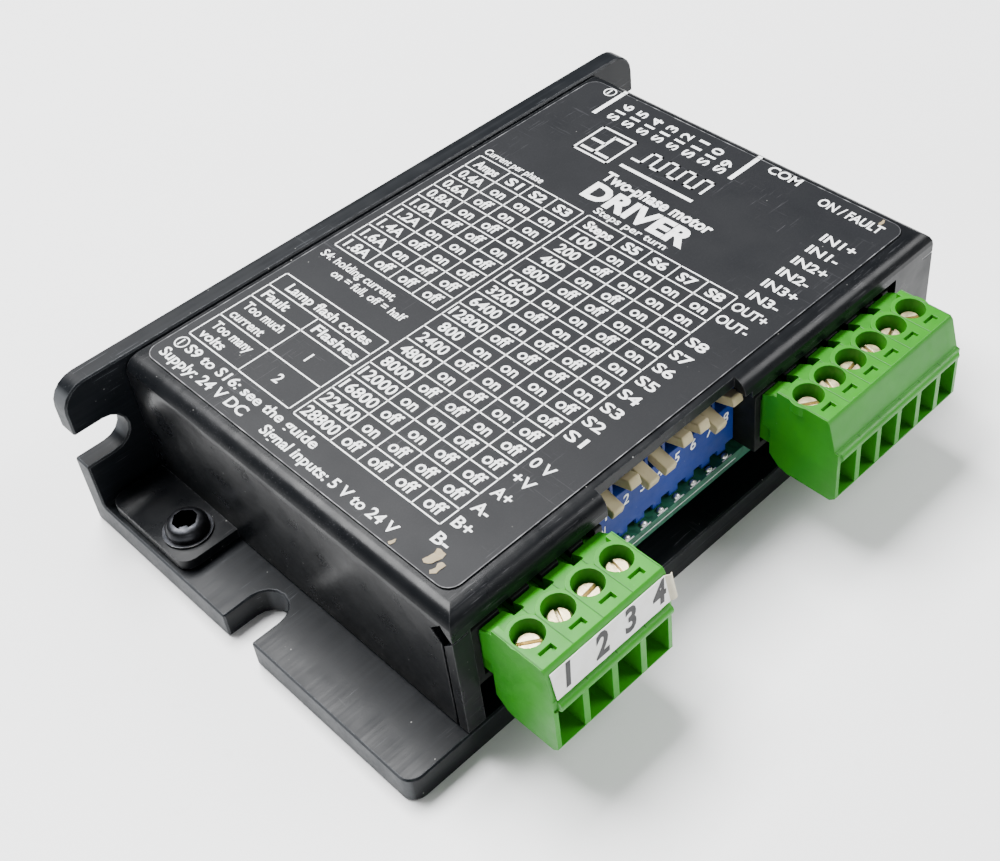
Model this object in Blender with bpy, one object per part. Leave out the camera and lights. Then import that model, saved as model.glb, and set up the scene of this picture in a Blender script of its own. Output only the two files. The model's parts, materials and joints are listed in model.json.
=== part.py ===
"""Microstepping drive for a small stepper motor, as an assembly of separate parts.

Frame: the origin is the centre of the base plate's underside.  X runs along the
86 mm length, the pluggable connectors face -Y, the heat-sink wall is at +Y and
Z is up.  Driving dimensions are in millimetres and become metres in the helpers.
"""
import math

import bmesh
import bpy
from mathutils import Vector

MM = 0.001

# Heat sink: an L-shaped extrusion, cut to length and slotted at both ends.
LENGTH = 86.0
WIDTH = 54.4
BASE_THICKNESS = 3.4
WALL_THICKNESS = 2.6
WALL_HEIGHT = 20.6
WALL_CORNER = 3.1
BASE_CORNER = 1.6
SLOT_WIDTH = 4.8
SLOT_DEPTH = 5.9
BASE_SLOT_Y = -0.3
WALL_SLOT_Z = 12.1

FRONT = -WIDTH / 2
BACK = WIDTH / 2
WALL_INNER = BACK - WALL_THICKNESS

# Fit between parts.
GAP = 0.3

# Sheet-metal cover.
SHEET = 1.25
COVER_NEAR = -35.5
COVER_FAR = 37.0
COVER_FRONT = FRONT + 0.05
COVER_BACK = WALL_INNER - GAP
COVER_TOP = 20.3
COVER_FOOT = BASE_THICKNESS + GAP
BEND_RADIUS = 1.8
BEND_INNER = 0.55
SEAM = 0.4
SEAM_TOP = 17.4
RELIEF_SIZE = 1.5
TAB_FRONT = 9.4
TAB_BACK = 23.6
TAB_REACH = 6.9
TAB_FAR_REACH = 5.6
TAB_CORNER = 1.6
TAB_SCREW_Y = 13.3
TAB_SCREW_OFFSET = 3.6
TAB_HOLE = 3.4

# Front opening in the cover.
OPENING_NEAR = -33.3
OPENING_FAR = 30.2
OPENING_TOP = 17.6
END_OPENING_TOP = 18.5
BEND_CUT_NEAR = -15.6
BEND_CUT_FAR = 4.6
BEND_CUT_BACK = -25.6
LEVER_RELIEF_FAR = 5.65

# Circuit board.
PCB_TOP = 7.9
PCB_THICKNESS = 1.6
PCB_NEAR = COVER_NEAR + SHEET + 0.45
PCB_FAR = COVER_FAR - SHEET - 0.45
PCB_FRONT = -24.9
PCB_BACK = 23.8
SPACER_RADIUS = 2.4
SPACER_SPOTS = ((-27.5, 17.0), (0.0, 19.5), (27.5, -12.0))

# Pluggable screw terminals: 3.81 mm pitch for supply and motor, 3.5 mm pitch for signals.
# The slope ends at slope_foot above a half-round bar; lower_front is the face with the wire entries.
PLUG_4WAY = {"first_x": -30.2, "pitch": 3.81, "ways": 4, "top": 17.6, "foot": 5.8,
             "bar_z": 13.05, "slope_foot": -36.1, "lower_front": -36.1}
PLUG_6WAY = {"first_x": 9.5, "pitch": 3.5, "ways": 6, "top": 17.9, "foot": 7.0,
             "bar_z": 13.45, "slope_foot": -36.35, "lower_front": -36.75}
BAR_RADIUS = 0.66
BAR_INSET = 0.45
PLUG_SIDE = 0.14
PLUG_TOP_BACK = -28.7
PLUG_STEP = 0.7
PLUG_TOP_FRONT = -35.1
PLUG_FRONT_LIMIT = -37.5
PLUG_REAR = -28.0
SHELF_BACK = -26.9
SHELF_DROP = 1.45
SHOULDER_Z = 12.3
TONGUE_BACK = -19.6
WELL_Y = -31.3
WELL_RADIUS = 1.65
COLLAR_RADIUS = 2.15
DIVIDER = 0.75
PLUG_SKIN = 0.7
CLAMP_TRAVEL = 1.2
SCREW_HEAD_RADIUS = 1.32
SCREW_HEAD_DEPTH = 1.35
SCREW_HEAD_HEIGHT = 1.3
SCREW_SHANK_RADIUS = 0.55
PIN_SIZE = 1.0
PIN_Z = 12.0
CHANNEL_WIDTH = 1.7

# Headers soldered to the board.
HEADER_FRONT = -26.6
HEADER_BACK = -17.4
HEADER_TOP = 16.2
HEADER_WALL = 0.9
HEADER_MARGIN = 0.75

# Piano-type DIP switches.
DIP_PITCH = 2.54
DIP_WAYS = 8
DIP_MARGIN = 0.8
DIP_DEPTH = 8.0
DIP_TOP = 18.7
DIP_FACE_SETBACK = 3.15
DIP_SLOT_WIDTH = 2.1
DIP_SLOT_BOTTOM = 14.4
DIP_SLOT_TOP = 18.25
DIP_SLOT_DEPTH = 3.4
LEVER_WIDTH = 1.5
LEVER_THICKNESS = 1.25
LEVER_REACH = 3.85
LEVER_PIVOT_DEPTH = 1.5
LEVER_PIVOT_Z = 16.4
LEVER_TILT = math.radians(17)
FRONT_DIP_X = -4.35
END_DIP_Y = 7.75
FRONT_LEVERS_UP = (2, 5, 6, 8)
END_LEVERS_UP = (1, 3, 6)

# Communication socket and status lamps on the far end.
SOCKET_Y = -9.2
SOCKET_WIDTH = 9.2
SOCKET_TOP = 18.5
SOCKET_DEPTH = 12.0
LED_SPOTS = (-17.0, -20.6)
LED_RADIUS = 1.45
LED_Z = 13.5

# Smaller details.
SCREW_HOLE_RADIUS = 1.35
LABEL_LIFT = 0.03
LABEL_THICKNESS = 0.15
PIN_BEND_Y = HEADER_BACK + 1.4
NOTCH_WIDTH = 1.5
NOTCH_DEPTH = 1.5
GAP_WIDTH = 1.3
GAP_SHIFT = -0.4
PIN_TAIL_Z = 5.0
TONGUE_FOOT = PCB_TOP + 2 * GAP + HEADER_WALL + 0.1
TONGUE_TOP = HEADER_TOP - HEADER_WALL - GAP
SIDE_WALL = 0.85
CHAMBER_BACK = -29.6
CAGE_LENGTH = 2.8
STRIP_LIFT = 0.03
STRIP_THICKNESS = 0.12
CHIP_X = -8.0
PAD_THICKNESS = 0.6
SLOT_TURNS = [math.radians(angle) for angle in (20, -35, 65, 5, 80)]
CAPACITOR_X = (-25.0, -14.5)
CAPACITOR_Y = -5.0


# ---------------------------------------------------------------- helpers

def clear_scene():
    """Remove every object, so that only this part is left."""
    for old in list(bpy.data.objects):
        bpy.data.objects.remove(old, do_unlink=True)


def material(name, colour, roughness, metallic=0.0):
    """One Principled material with the part's colour and finish."""
    finish = bpy.data.materials.new(name)
    finish.use_nodes = True
    shader = finish.node_tree.nodes["Principled BSDF"]
    shader.inputs["Base Color"].default_value = (*colour, 1.0)
    shader.inputs["Roughness"].default_value = roughness
    shader.inputs["Metallic"].default_value = metallic
    return finish


def add_object(name, shape, finish=None, origin=(0.0, 0.0, 0.0)):
    """Turn a bmesh, drawn in world millimetres, into an object with its own origin."""
    centre = Vector(origin)
    for vert in shape.verts:
        vert.co = (vert.co - centre) * MM
    bmesh.ops.recalc_face_normals(shape, faces=shape.faces)
    mesh = bpy.data.meshes.new(name)
    shape.to_mesh(mesh)
    shape.free()
    made = bpy.data.objects.new(name, mesh)
    made.location = centre * MM
    bpy.context.collection.objects.link(made)
    if finish:
        mesh.materials.append(finish)
    return made


def box(shape, low, high):
    """Add an axis-aligned block to a bmesh."""
    size = Vector(high) - Vector(low)
    middle = (Vector(high) + Vector(low)) / 2
    made = bmesh.ops.create_cube(shape, size=1.0)["verts"]
    for vert in made:
        vert.co = Vector(a * b for a, b in zip(vert.co, size)) + middle
    return made


def prism(shape, outline, axis, start, end):
    """Add a prism to a bmesh: a closed outline swept along one axis.

    The outline is (y, z) for axis X, (x, z) for axis Y and (x, y) for axis Z.
    """
    def place(pair, along):
        point = list(pair)
        point.insert(axis, along)
        return point

    first = [shape.verts.new(place(pair, start)) for pair in outline]
    last = [shape.verts.new(place(pair, end)) for pair in outline]
    shape.faces.new(first)
    shape.faces.new(list(reversed(last)))
    count = len(outline)
    for index in range(count):
        after = (index + 1) % count
        shape.faces.new((first[after], first[index], last[index], last[after]))
    return first + last


def disc(centre, radius, sides, turn=0.0):
    """Outline of a round bar or hole."""
    steps = [turn + 2 * math.pi * index / sides for index in range(sides)]
    return [(centre[0] + radius * math.cos(a), centre[1] + radius * math.sin(a)) for a in steps]


def turn_profile(shape, outline, centre, sides, axis=2):
    """Solid of revolution about a line along an axis, from (radius, height) points in order."""
    loops = []
    for radius, height in outline:
        ring = []
        for pair in disc(centre, radius, sides):
            point = list(pair)
            point.insert(axis, height)
            ring.append(shape.verts.new(point))
        loops.append(ring)
    for low, high in zip(loops, loops[1:]):
        for index in range(sides):
            after = (index + 1) % sides
            shape.faces.new((low[index], low[after], high[after], high[index]))
    shape.faces.new(list(reversed(loops[0])))
    shape.faces.new(loops[-1])


def arc(centre, radius, start, end, steps):
    """Points along an arc, angles in degrees."""
    angles = [math.radians(start + (end - start) * index / steps) for index in range(steps + 1)]
    return [(centre[0] + radius * math.cos(a), centre[1] + radius * math.sin(a)) for a in angles]


def combine(target, others, operation="DIFFERENCE"):
    """Cut or join solids into the target, and drop the tools afterwards."""
    for other in others:
        modifier = target.modifiers.new(operation.lower(), "BOOLEAN")
        modifier.operation = operation
        modifier.solver = "EXACT"
        modifier.object = other
    view = bpy.context.evaluated_depsgraph_get()
    result = bpy.data.meshes.new_from_object(target.evaluated_get(view))
    target.modifiers.clear()
    target.data = result
    for other in others:
        bpy.data.objects.remove(other, do_unlink=True)
    return target


def tool(draw):
    """A solid used only for cutting or joining; draw fills its bmesh."""
    shape = bmesh.new()
    draw(shape)
    return add_object("tool", shape)


def block_tool(low, high):
    """A rectangular cutting or joining solid."""
    return tool(lambda shape: box(shape, low, high))


def bar_tool(outline, axis, start, end):
    """A prismatic cutting or joining solid."""
    return tool(lambda shape: prism(shape, outline, axis, start, end))


def smooth_rounds(made, limit=35.0):
    """Smooth shading on round faces, sharp across real edges."""
    made.data.shade_smooth()
    made.data.set_sharp_from_angle(angle=math.radians(limit))


def bevel_edges(made, width, segments=1, limit=40.0):
    """Small edge rounding, kept as a modifier."""
    modifier = made.modifiers.new("edge", "BEVEL")
    modifier.width = width * MM
    modifier.segments = segments
    modifier.limit_method = "ANGLE"
    modifier.angle_limit = math.radians(limit)
    modifier.use_clamp_overlap = True


# ---------------------------------------------------------------- heat sink

def slot_outline(end, middle):
    """U-shaped mounting slot, open at one end of the extrusion (end is -1 or +1)."""
    radius = SLOT_WIDTH / 2
    centre = end * (LENGTH / 2 - SLOT_DEPTH + radius)
    mouth = end * (LENGTH / 2 + 2.0)
    if end < 0:
        bend = arc((centre, middle), radius, -90, 90, 8)
        return [(mouth, middle - radius)] + bend + [(mouth, middle + radius)]
    bend = arc((centre, middle), radius, 90, 270, 8)
    return [(mouth, middle + radius)] + bend + [(mouth, middle - radius)]


def build_heat_sink():
    """Base plate and back wall in one extruded piece."""
    shape = bmesh.new()
    fillet = 0.5
    inner = (WALL_INNER - fillet, BASE_THICKNESS + fillet)
    profile = [(FRONT, 0.0), (BACK, 0.0), (BACK, WALL_HEIGHT), (WALL_INNER, WALL_HEIGHT)]
    profile += arc(inner, fillet, 0, -90, 2)
    profile += [(FRONT, BASE_THICKNESS)]
    prism(shape, profile, 0, -LENGTH / 2, LENGTH / 2)
    sink = add_object("heat_sink", shape, BLACK_ANODISE)
    cutters = []
    for end in (-1, 1):
        cutters.append(bar_tool(slot_outline(end, BASE_SLOT_Y), 2, -1.0, BASE_THICKNESS + 1.0))
        cutters.append(bar_tool(slot_outline(end, WALL_SLOT_Z), 1, WALL_INNER - 1.0, BACK + 1.0))
        cutters.append(corner_tool(end * LENGTH / 2, -end, WALL_HEIGHT, -1, WALL_CORNER, 1, BACK))
        cutters.append(corner_tool(end * LENGTH / 2, -end, FRONT, 1, BASE_CORNER, 2, 0.0))
        x = tab_screw_x(end)
        hole = disc((x, TAB_SCREW_Y), SCREW_HOLE_RADIUS, 12)
        cutters.append(bar_tool(hole, 2, 0.8, BASE_THICKNESS + 1.0))
    for x, y in SPACER_SPOTS:
        hole = disc((x, y), SCREW_HOLE_RADIUS, 12)
        cutters.append(bar_tool(hole, 2, 0.8, BASE_THICKNESS + 1.0))
    combine(sink, cutters)
    bevel_edges(sink, 0.22)
    return sink


def corner_tool(edge_x, inward_x, edge_v, inward_v, radius, axis, position):
    """Solid that rounds one free corner of a plate when cut away."""
    over = 1.0
    centre = (edge_x + inward_x * radius, edge_v + inward_v * radius)
    corner_start = math.degrees(math.atan2(0.0, -inward_x))
    corner_end = math.degrees(math.atan2(-inward_v, 0.0))
    turn = (corner_end - corner_start + 180) % 360 - 180
    round_part = arc(centre, radius, corner_start, corner_start + turn, 5)
    outer = [(centre[0], edge_v - inward_v * over),
             (edge_x - inward_x * over, edge_v - inward_v * over),
             (edge_x - inward_x * over, centre[1])]
    thickness = (WALL_THICKNESS if axis == 1 else BASE_THICKNESS) + 2.0
    start = position - thickness + 1.0 if axis == 1 else position - 1.0
    return bar_tool(round_part + outer, axis, start, start + thickness)


def tab_screw_x(end):
    """Place of a cover screw: on the tab outside the cover's end wall."""
    wall = COVER_NEAR if end < 0 else COVER_FAR
    offset = TAB_SCREW_OFFSET if end < 0 else TAB_SCREW_OFFSET - 0.7
    return wall + end * offset


# ---------------------------------------------------------------- cover

def rounded_block(low, high, radius, segments):
    """Block whose top edges at both X ends and at the front are bent round."""
    shape = bmesh.new()
    box(shape, low, high)
    edges = []
    for edge in shape.edges:
        a, b = edge.verts
        on_top = a.co.z > high[2] - 1e-6 and b.co.z > high[2] - 1e-6
        at_back = a.co.y > high[1] - 1e-6 and b.co.y > high[1] - 1e-6
        if on_top and not at_back:
            edges.append(edge)
    bmesh.ops.bevel(shape, geom=edges, offset=radius, segments=segments, profile=0.5, affect="EDGES")
    return shape


def build_cover():
    """Folded sheet cover: top, front wall with openings, two end walls and two tabs."""
    outer = rounded_block((COVER_NEAR, COVER_FRONT, COVER_FOOT), (COVER_FAR, COVER_BACK, COVER_TOP),
                          BEND_RADIUS, 5)
    cover = add_object("cover", outer, BLACK_PAINT)
    inner = rounded_block((COVER_NEAR + SHEET, COVER_FRONT + SHEET, -5.0),
                          (COVER_FAR - SHEET, COVER_BACK + 5.0, COVER_TOP - SHEET), BEND_INNER, 2)
    cutters = [add_object("tool", inner)]
    combine(cover, cutters)
    combine(cover, [tab_tool(-1), tab_tool(1)], "UNION")
    cutters = opening_tools() + seam_tools()
    for end in (-1, 1):
        hole = disc((tab_screw_x(end), TAB_SCREW_Y), TAB_HOLE / 2, 16)
        cutters.append(bar_tool(hole, 2, 1.0, COVER_FOOT + SHEET + 1.0))
    combine(cover, cutters)
    smooth_rounds(cover, 25.0)
    return cover


def tab_tool(end):
    """Foot of an end wall, turned outward to lie on the base plate."""
    wall = COVER_NEAR if end < 0 else COVER_FAR
    reach = TAB_REACH if end < 0 else TAB_FAR_REACH
    tip = wall + end * reach
    root = wall - end * SHEET / 2
    front_corner = (tip - end * TAB_CORNER, TAB_FRONT + TAB_CORNER)
    back_corner = (tip - end * TAB_CORNER, TAB_BACK - TAB_CORNER)
    turn = 0 if end > 0 else 180
    front_arc = arc(front_corner, TAB_CORNER, -90, turn if end > 0 else -180, 4)
    back_arc = arc(back_corner, TAB_CORNER, turn if end > 0 else 180, 90, 4)
    outline = [(root, TAB_FRONT)] + front_arc + back_arc + [(root, TAB_BACK)]
    return bar_tool(outline, 2, COVER_FOOT, COVER_FOOT + SHEET)


def opening_tools():
    """Front connector opening, the cut through the bend above the switch, end openings."""
    front_out = COVER_FRONT - 1.0
    front_in = COVER_FRONT + SHEET + 0.6
    end_in = COVER_FAR - SHEET - 0.6
    end_out = COVER_FAR + 1.0
    half_dip = DIP_WAYS * DIP_PITCH / 2 + DIP_MARGIN - 0.4
    tools = [
        block_tool((OPENING_NEAR, front_out, 0.0), (OPENING_FAR, front_in, OPENING_TOP)),
        block_tool((BEND_CUT_NEAR, front_out, OPENING_TOP - 1.0),
                   (BEND_CUT_FAR, BEND_CUT_BACK, COVER_TOP + 1.0)),
        block_tool((BEND_CUT_FAR - 1.0, front_out, OPENING_TOP - 1.0),
                   (LEVER_RELIEF_FAR, front_in, END_OPENING_TOP)),
        block_tool((end_in, END_DIP_Y - half_dip, 12.6),
                   (end_out, END_DIP_Y + half_dip, END_OPENING_TOP)),
        block_tool((end_in, SOCKET_Y - SOCKET_WIDTH / 2 - 0.4, PCB_TOP),
                   (end_out, SOCKET_Y + SOCKET_WIDTH / 2 + 0.4, SOCKET_TOP - 0.4)),
    ]
    for y in LED_SPOTS:
        tools.append(bar_tool(disc((y, LED_Z), LED_RADIUS + 0.35, 16), 0, end_in, end_out))
    return tools


def seam_tools():
    """Open seams where the front wall meets the end walls, with corner relief holes."""
    tools = []
    for end, wall in ((-1, COVER_NEAR), (1, COVER_FAR)):
        outside = wall + end * 1.0
        inside = wall - end * (SHEET + 0.6)
        seam_y = COVER_FRONT + SHEET
        low = (min(inside, outside), seam_y, COVER_FOOT - 1.0)
        high = (max(inside, outside), seam_y + SEAM, SEAM_TOP)
        tools.append(block_tool(low, high))
        half = RELIEF_SIZE
        middle = seam_y + SEAM / 2
        diamond = [(middle - half, SEAM_TOP), (middle, SEAM_TOP - half), (middle + half, SEAM_TOP),
                   (middle, SEAM_TOP + half)]
        tools.append(bar_tool(diamond, 0, min(inside, outside), max(inside, outside)))
    return tools


def build_label():
    """Matt label on top of the cover, with rounded corners."""
    near, far = COVER_NEAR + 2.2, COVER_FAR - 1.9
    front, back = COVER_FRONT + 2.4, COVER_BACK - 0.6
    radius = 1.6
    outline = arc((near + radius, front + radius), radius, 180, 270, 4)
    outline += arc((far - radius, front + radius), radius, 270, 360, 4)
    outline += arc((far - radius, back - radius), radius, 0, 90, 4)
    outline += arc((near + radius, back - radius), radius, 90, 180, 4)
    shape = bmesh.new()
    bottom = COVER_TOP + LABEL_LIFT
    prism(shape, outline, 2, bottom, bottom + LABEL_THICKNESS)
    return add_object("label", shape, LABEL_FILM)


def recess_cross(x, y, size, width, bottom, top):
    """Cross-shaped cutting solid for a screw recess."""
    half, arm = width / 2, size / 2
    outline = [(-arm, -half), (-half, -half), (-half, -arm), (half, -arm), (half, -half), (arm, -half),
               (arm, half), (half, half), (half, arm), (-half, arm), (-half, half), (-arm, half)]
    return bar_tool([(x + a, y + b) for a, b in outline], 2, bottom, top)


def build_pan_screw(name, place, seat, head_radius, head_height, shank_radius, shank_length):
    """One pan-head screw with its shank and cross recess."""
    x, y = place
    shape = bmesh.new()
    outline = [(shank_radius, seat - shank_length), (shank_radius, seat), (head_radius, seat),
               (head_radius, seat + head_height * 0.45), (head_radius * 0.86, seat + head_height * 0.82),
               (head_radius * 0.6, seat + head_height)]
    turn_profile(shape, outline, place, 20)
    screw = add_object(name, shape, SCREW_BLACK, (x, y, seat))
    combine(screw, [recess_cross(x, y, head_radius * 1.05, head_radius * 0.3, seat + head_height * 0.35,
                                 seat + head_height + 1.0)])
    smooth_rounds(screw, 40.0)
    return screw


# ---------------------------------------------------------------- board

def clamp_places(plug):
    """The x of each way of a plug."""
    return [plug["first_x"] + index * plug["pitch"] for index in range(plug["ways"])]


def plug_span(plug):
    """Lowest and highest x of a plug body."""
    side = plug["pitch"] / 2 + PLUG_SIDE
    last = plug["first_x"] + (plug["ways"] - 1) * plug["pitch"]
    return plug["first_x"] - side, last + side


def build_board():
    """Circuit board with holes for the header pins and the spacer screws."""
    shape = bmesh.new()
    bottom = PCB_TOP - PCB_THICKNESS
    box(shape, (PCB_NEAR, PCB_FRONT, bottom), (PCB_FAR, PCB_BACK, PCB_TOP))
    board = add_object("circuit_board", shape, PCB_GREEN)
    cutters = []
    half = PIN_SIZE / 2 + GAP
    for plug in (PLUG_4WAY, PLUG_6WAY):
        for x in clamp_places(plug):
            cutters.append(block_tool((x - half, PIN_BEND_Y - half, bottom - 1.0),
                                      (x + half, PIN_BEND_Y + half, PCB_TOP + 1.0)))
    for x, y in SPACER_SPOTS:
        cutters.append(bar_tool(disc((x, y), SCREW_HOLE_RADIUS, 12), 2, bottom - 1.0, PCB_TOP + 1.0))
    combine(board, cutters)
    return board


def build_standoffs():
    """Standoffs that carry the board above the base plate."""
    top = PCB_TOP - PCB_THICKNESS - GAP
    for number, (x, y) in enumerate(SPACER_SPOTS, start=1):
        shape = bmesh.new()
        prism(shape, disc((x, y), SPACER_RADIUS, 6), 2, COVER_FOOT, top)
        standoff = add_object("board_standoff_%d" % number, shape, ALUMINIUM, (x, y, COVER_FOOT))
        combine(standoff, [bar_tool(disc((x, y), SCREW_HOLE_RADIUS, 12), 2, COVER_FOOT - 1.0, top + 1.0)])


def build_header(name, plug):
    """Header shell: open to the front, notched along its top edge, holes for the pins."""
    low, high = plug_span(plug)
    low -= HEADER_MARGIN
    high += HEADER_MARGIN
    shape = bmesh.new()
    foot = PCB_TOP + GAP
    box(shape, (low, HEADER_FRONT, foot), (high, HEADER_BACK, HEADER_TOP))
    header = add_object(name, shape, HEADER_BLACK)
    cavity = block_tool((low + HEADER_WALL, HEADER_FRONT - 1.0, foot + HEADER_WALL),
                        (high - HEADER_WALL, HEADER_BACK - 1.2, HEADER_TOP - HEADER_WALL))
    cutters = [cavity]
    for x in clamp_places(plug):
        middle = x + plug["pitch"] / 2 + GAP_SHIFT
        if x == clamp_places(plug)[-1]:
            middle -= 0.5
        low_z = HEADER_TOP - HEADER_WALL - 0.5
        cutters.append(block_tool((middle - NOTCH_WIDTH / 2, HEADER_FRONT - 1.0, low_z),
                                  (middle + NOTCH_WIDTH / 2, HEADER_FRONT + NOTCH_DEPTH, HEADER_TOP + 1.0)))
    combine(header, cutters)
    for x in clamp_places(plug):
        combine(header, [pin_tool(x)], "UNION")
    return header


def pin_tool(x):
    """Bent contact pin of one way, moulded into the header's rear wall."""
    half = PIN_SIZE / 2
    tip = HEADER_FRONT + 1.2
    outline = [(tip, PIN_Z - half), (PIN_BEND_Y - half, PIN_Z - half),
               (PIN_BEND_Y - half, PIN_TAIL_Z), (PIN_BEND_Y + half, PIN_TAIL_Z),
               (PIN_BEND_Y + half, PIN_Z + half), (tip, PIN_Z + half)]
    return bar_tool(outline, 0, x - half, x + half)


# ---------------------------------------------------------------- plugs

def plug_outline(plug):
    """Side outline (y, z) of the visible plug block."""
    top, foot, lower = plug["top"], plug["foot"], plug["lower_front"]
    shelf = top - PLUG_STEP
    bar = arc((plug["slope_foot"] - 0.12, plug["bar_z"]), BAR_RADIUS, 245, 90, 7)
    return [
        (PLUG_REAR, foot + 1.6), (PLUG_REAR - 1.3, foot + 0.35), (PLUG_REAR - 2.4, foot),
        (lower + 0.7, foot), (lower, foot + 0.6), (lower, plug["bar_z"] - 0.75),
    ] + bar + [
        (plug["slope_foot"], plug["bar_z"] + BAR_RADIUS + 0.05), (PLUG_TOP_FRONT - 0.35, top - 0.4),
        (PLUG_TOP_FRONT, top), (WELL_Y, top), (WELL_Y, shelf), (PLUG_REAR - 0.3, shelf),
        (SHELF_BACK, top - SHELF_DROP), (SHELF_BACK, SHOULDER_Z), (PLUG_REAR, SHOULDER_Z - 0.3),
    ]


def build_plug(name, plug):
    """Plug housing: clamp wells, wire entries, code slots and the tongue that mates."""
    low, high = plug_span(plug)
    top, foot = plug["top"], plug["foot"]
    origin = ((low + high) / 2, PLUG_REAR, PIN_Z)
    shape = bmesh.new()
    prism(shape, plug_outline(plug), 0, low, high)
    body = add_object(name, shape, PLUG_GREEN, origin)
    joins = []
    for x in clamp_places(plug):
        joins.append(bar_tool(disc((x, WELL_Y), COLLAR_RADIUS, 20), 2, top - PLUG_STEP - 0.5, top))
    inset = HEADER_WALL + GAP - HEADER_MARGIN
    joins.append(block_tool((low + inset, PLUG_REAR - 0.5, TONGUE_FOOT),
                            (high - inset, TONGUE_BACK, TONGUE_TOP)))
    for edge in (low, high - SIDE_WALL):
        joins.append(block_tool((edge, PLUG_TOP_BACK, top - PLUG_STEP - 0.5),
                                (edge + SIDE_WALL, WELL_Y - 0.1, top)))
    for join in joins:
        combine(body, [join], "UNION")
    for x in clamp_places(plug):
        cut_plug_way(body, plug, x)
    for x in clamp_places(plug)[:-1]:
        middle = x + plug["pitch"] / 2 + GAP_SHIFT
        combine(body, [block_tool((middle - GAP_WIDTH / 2, PLUG_REAR - 0.55, top - 2.5),
                                  (middle + GAP_WIDTH / 2, SHELF_BACK + 1.0, top + 1.0))])
    bar_low, bar_high = plug["bar_z"] - BAR_RADIUS, plug["bar_z"] + BAR_RADIUS + 0.04
    bar_back = min(plug["slope_foot"], plug["lower_front"]) - 0.01
    for inner, outer in ((low + BAR_INSET, low - 1.0), (high - BAR_INSET, high + 1.0)):
        combine(body, [block_tool((min(inner, outer), PLUG_FRONT_LIMIT - 1.0, bar_low),
                                  (max(inner, outer), bar_back, bar_high))])
    smooth_rounds(body, 30.0)
    return body


def cut_plug_way(body, plug, x):
    """Hollow out one way of a plug: well, wire chamber, contact channel and code slot."""
    top, foot = plug["top"], plug["foot"]
    half = (plug["pitch"] - DIVIDER) / 2
    roof = chamber_roof(plug)
    chamber = block_tool((x - half, PLUG_FRONT_LIMIT - 1.0, foot + PLUG_SKIN),
                         (x + half, CHAMBER_BACK, roof))
    combine(body, [chamber])
    well = bar_tool(disc((x, WELL_Y), WELL_RADIUS, 20), 2, roof - 0.4, top + 1.0)
    combine(body, [well])
    channel = block_tool((x - CHANNEL_WIDTH / 2, CHAMBER_BACK - 0.4, PIN_Z - 1.35),
                         (x + CHANNEL_WIDTH / 2, TONGUE_BACK + 1.0, PIN_Z + 0.85))
    combine(body, [channel])
    near, far, back = x - 1.0, x + 0.65, PLUG_TOP_FRONT + 1.55
    slot = [(near, back - 0.4), (far - 0.4, back - 0.4), (far - 0.4, back - 0.85), (far, back - 0.85),
            (far, back), (near, back)]
    combine(body, [bar_tool(slot, 2, top - 0.6, top + 1.0)])


def chamber_roof(plug):
    """Height of the wire chamber's ceiling."""
    return plug["bar_z"] - 0.85


def cage_span(plug):
    """Lowest and highest z of a wire cage with the clamp open."""
    low = plug["foot"] + PLUG_SKIN + GAP
    return low, chamber_roof(plug) - GAP - CLAMP_TRAVEL


def build_cage(name, plug, x):
    """Wire cage: a square loop with a hole for the clamp screw."""
    low, high = cage_span(plug)
    half = (plug["pitch"] - DIVIDER) / 2 - GAP
    wall = 0.42
    shape = bmesh.new()
    front, back = WELL_Y - CAGE_LENGTH / 2, WELL_Y + CAGE_LENGTH / 2
    box(shape, (x - half, front, low), (x + half, back, high))
    cage = add_object(name, shape, TINNED_BRASS, (x, WELL_Y, low))
    window = block_tool((x - half + wall, front - 1.0, low + wall),
                        (x + half - wall, back + 1.0, high - wall))
    combine(cage, [window])
    hole = bar_tool(disc((x, WELL_Y), SCREW_SHANK_RADIUS + 0.22, 12), 2, high - wall - 0.5, high + 1.0)
    combine(cage, [hole])
    return cage


def build_clamp_screw(name, plug, x, turn):
    """Slotted clamp screw, deep in its well; turn sets the slot's angle."""
    crown = plug["top"] - SCREW_HEAD_DEPTH
    seat = crown - SCREW_HEAD_HEIGHT
    tip = cage_span(plug)[1] - 0.9
    shape = bmesh.new()
    outline = [(SCREW_SHANK_RADIUS, tip), (SCREW_SHANK_RADIUS, seat), (SCREW_HEAD_RADIUS, seat),
               (SCREW_HEAD_RADIUS, crown - 0.35), (SCREW_HEAD_RADIUS * 0.8, crown)]
    turn_profile(shape, outline, (x, WELL_Y), 16)
    screw = add_object(name, shape, TINNED_BRASS, (x, WELL_Y, seat))
    c, s = math.cos(turn), math.sin(turn)
    long, half = SCREW_HEAD_RADIUS + 0.5, 0.2
    corners = [(-long, -half), (long, -half), (long, half), (-long, half)]
    outline = [(x + a * c - b * s, WELL_Y + a * s + b * c) for a, b in corners]
    combine(screw, [bar_tool(outline, 2, crown - 0.55, crown + 1.0)])
    smooth_rounds(screw, 40.0)
    return screw


def build_marker_strip():
    """Marker strip stuck to the sloping face of the four-way plug."""
    low, high = plug_span(PLUG_4WAY)
    top = PLUG_4WAY["top"]
    upper = Vector((PLUG_TOP_FRONT - 0.35, top - 0.35))
    lower = Vector((PLUG_4WAY["slope_foot"], PLUG_4WAY["bar_z"] + BAR_RADIUS + 0.05))
    along = lower - upper
    outward = Vector((along.y, -along.x)).normalized()
    if outward.x > 0:
        outward.negate()
    start = upper + along * 0.09 + outward * STRIP_LIFT
    end = upper + along * 0.96 + outward * STRIP_LIFT
    skin = outward * STRIP_THICKNESS
    outline = [tuple(start), tuple(end), tuple(end + skin), tuple(start + skin)]
    shape = bmesh.new()
    prism(shape, outline, 0, low + 0.45, high - 0.3)
    return add_object("marker_strip", shape, PAPER_WHITE)


# ---------------------------------------------------------------- switches

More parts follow.
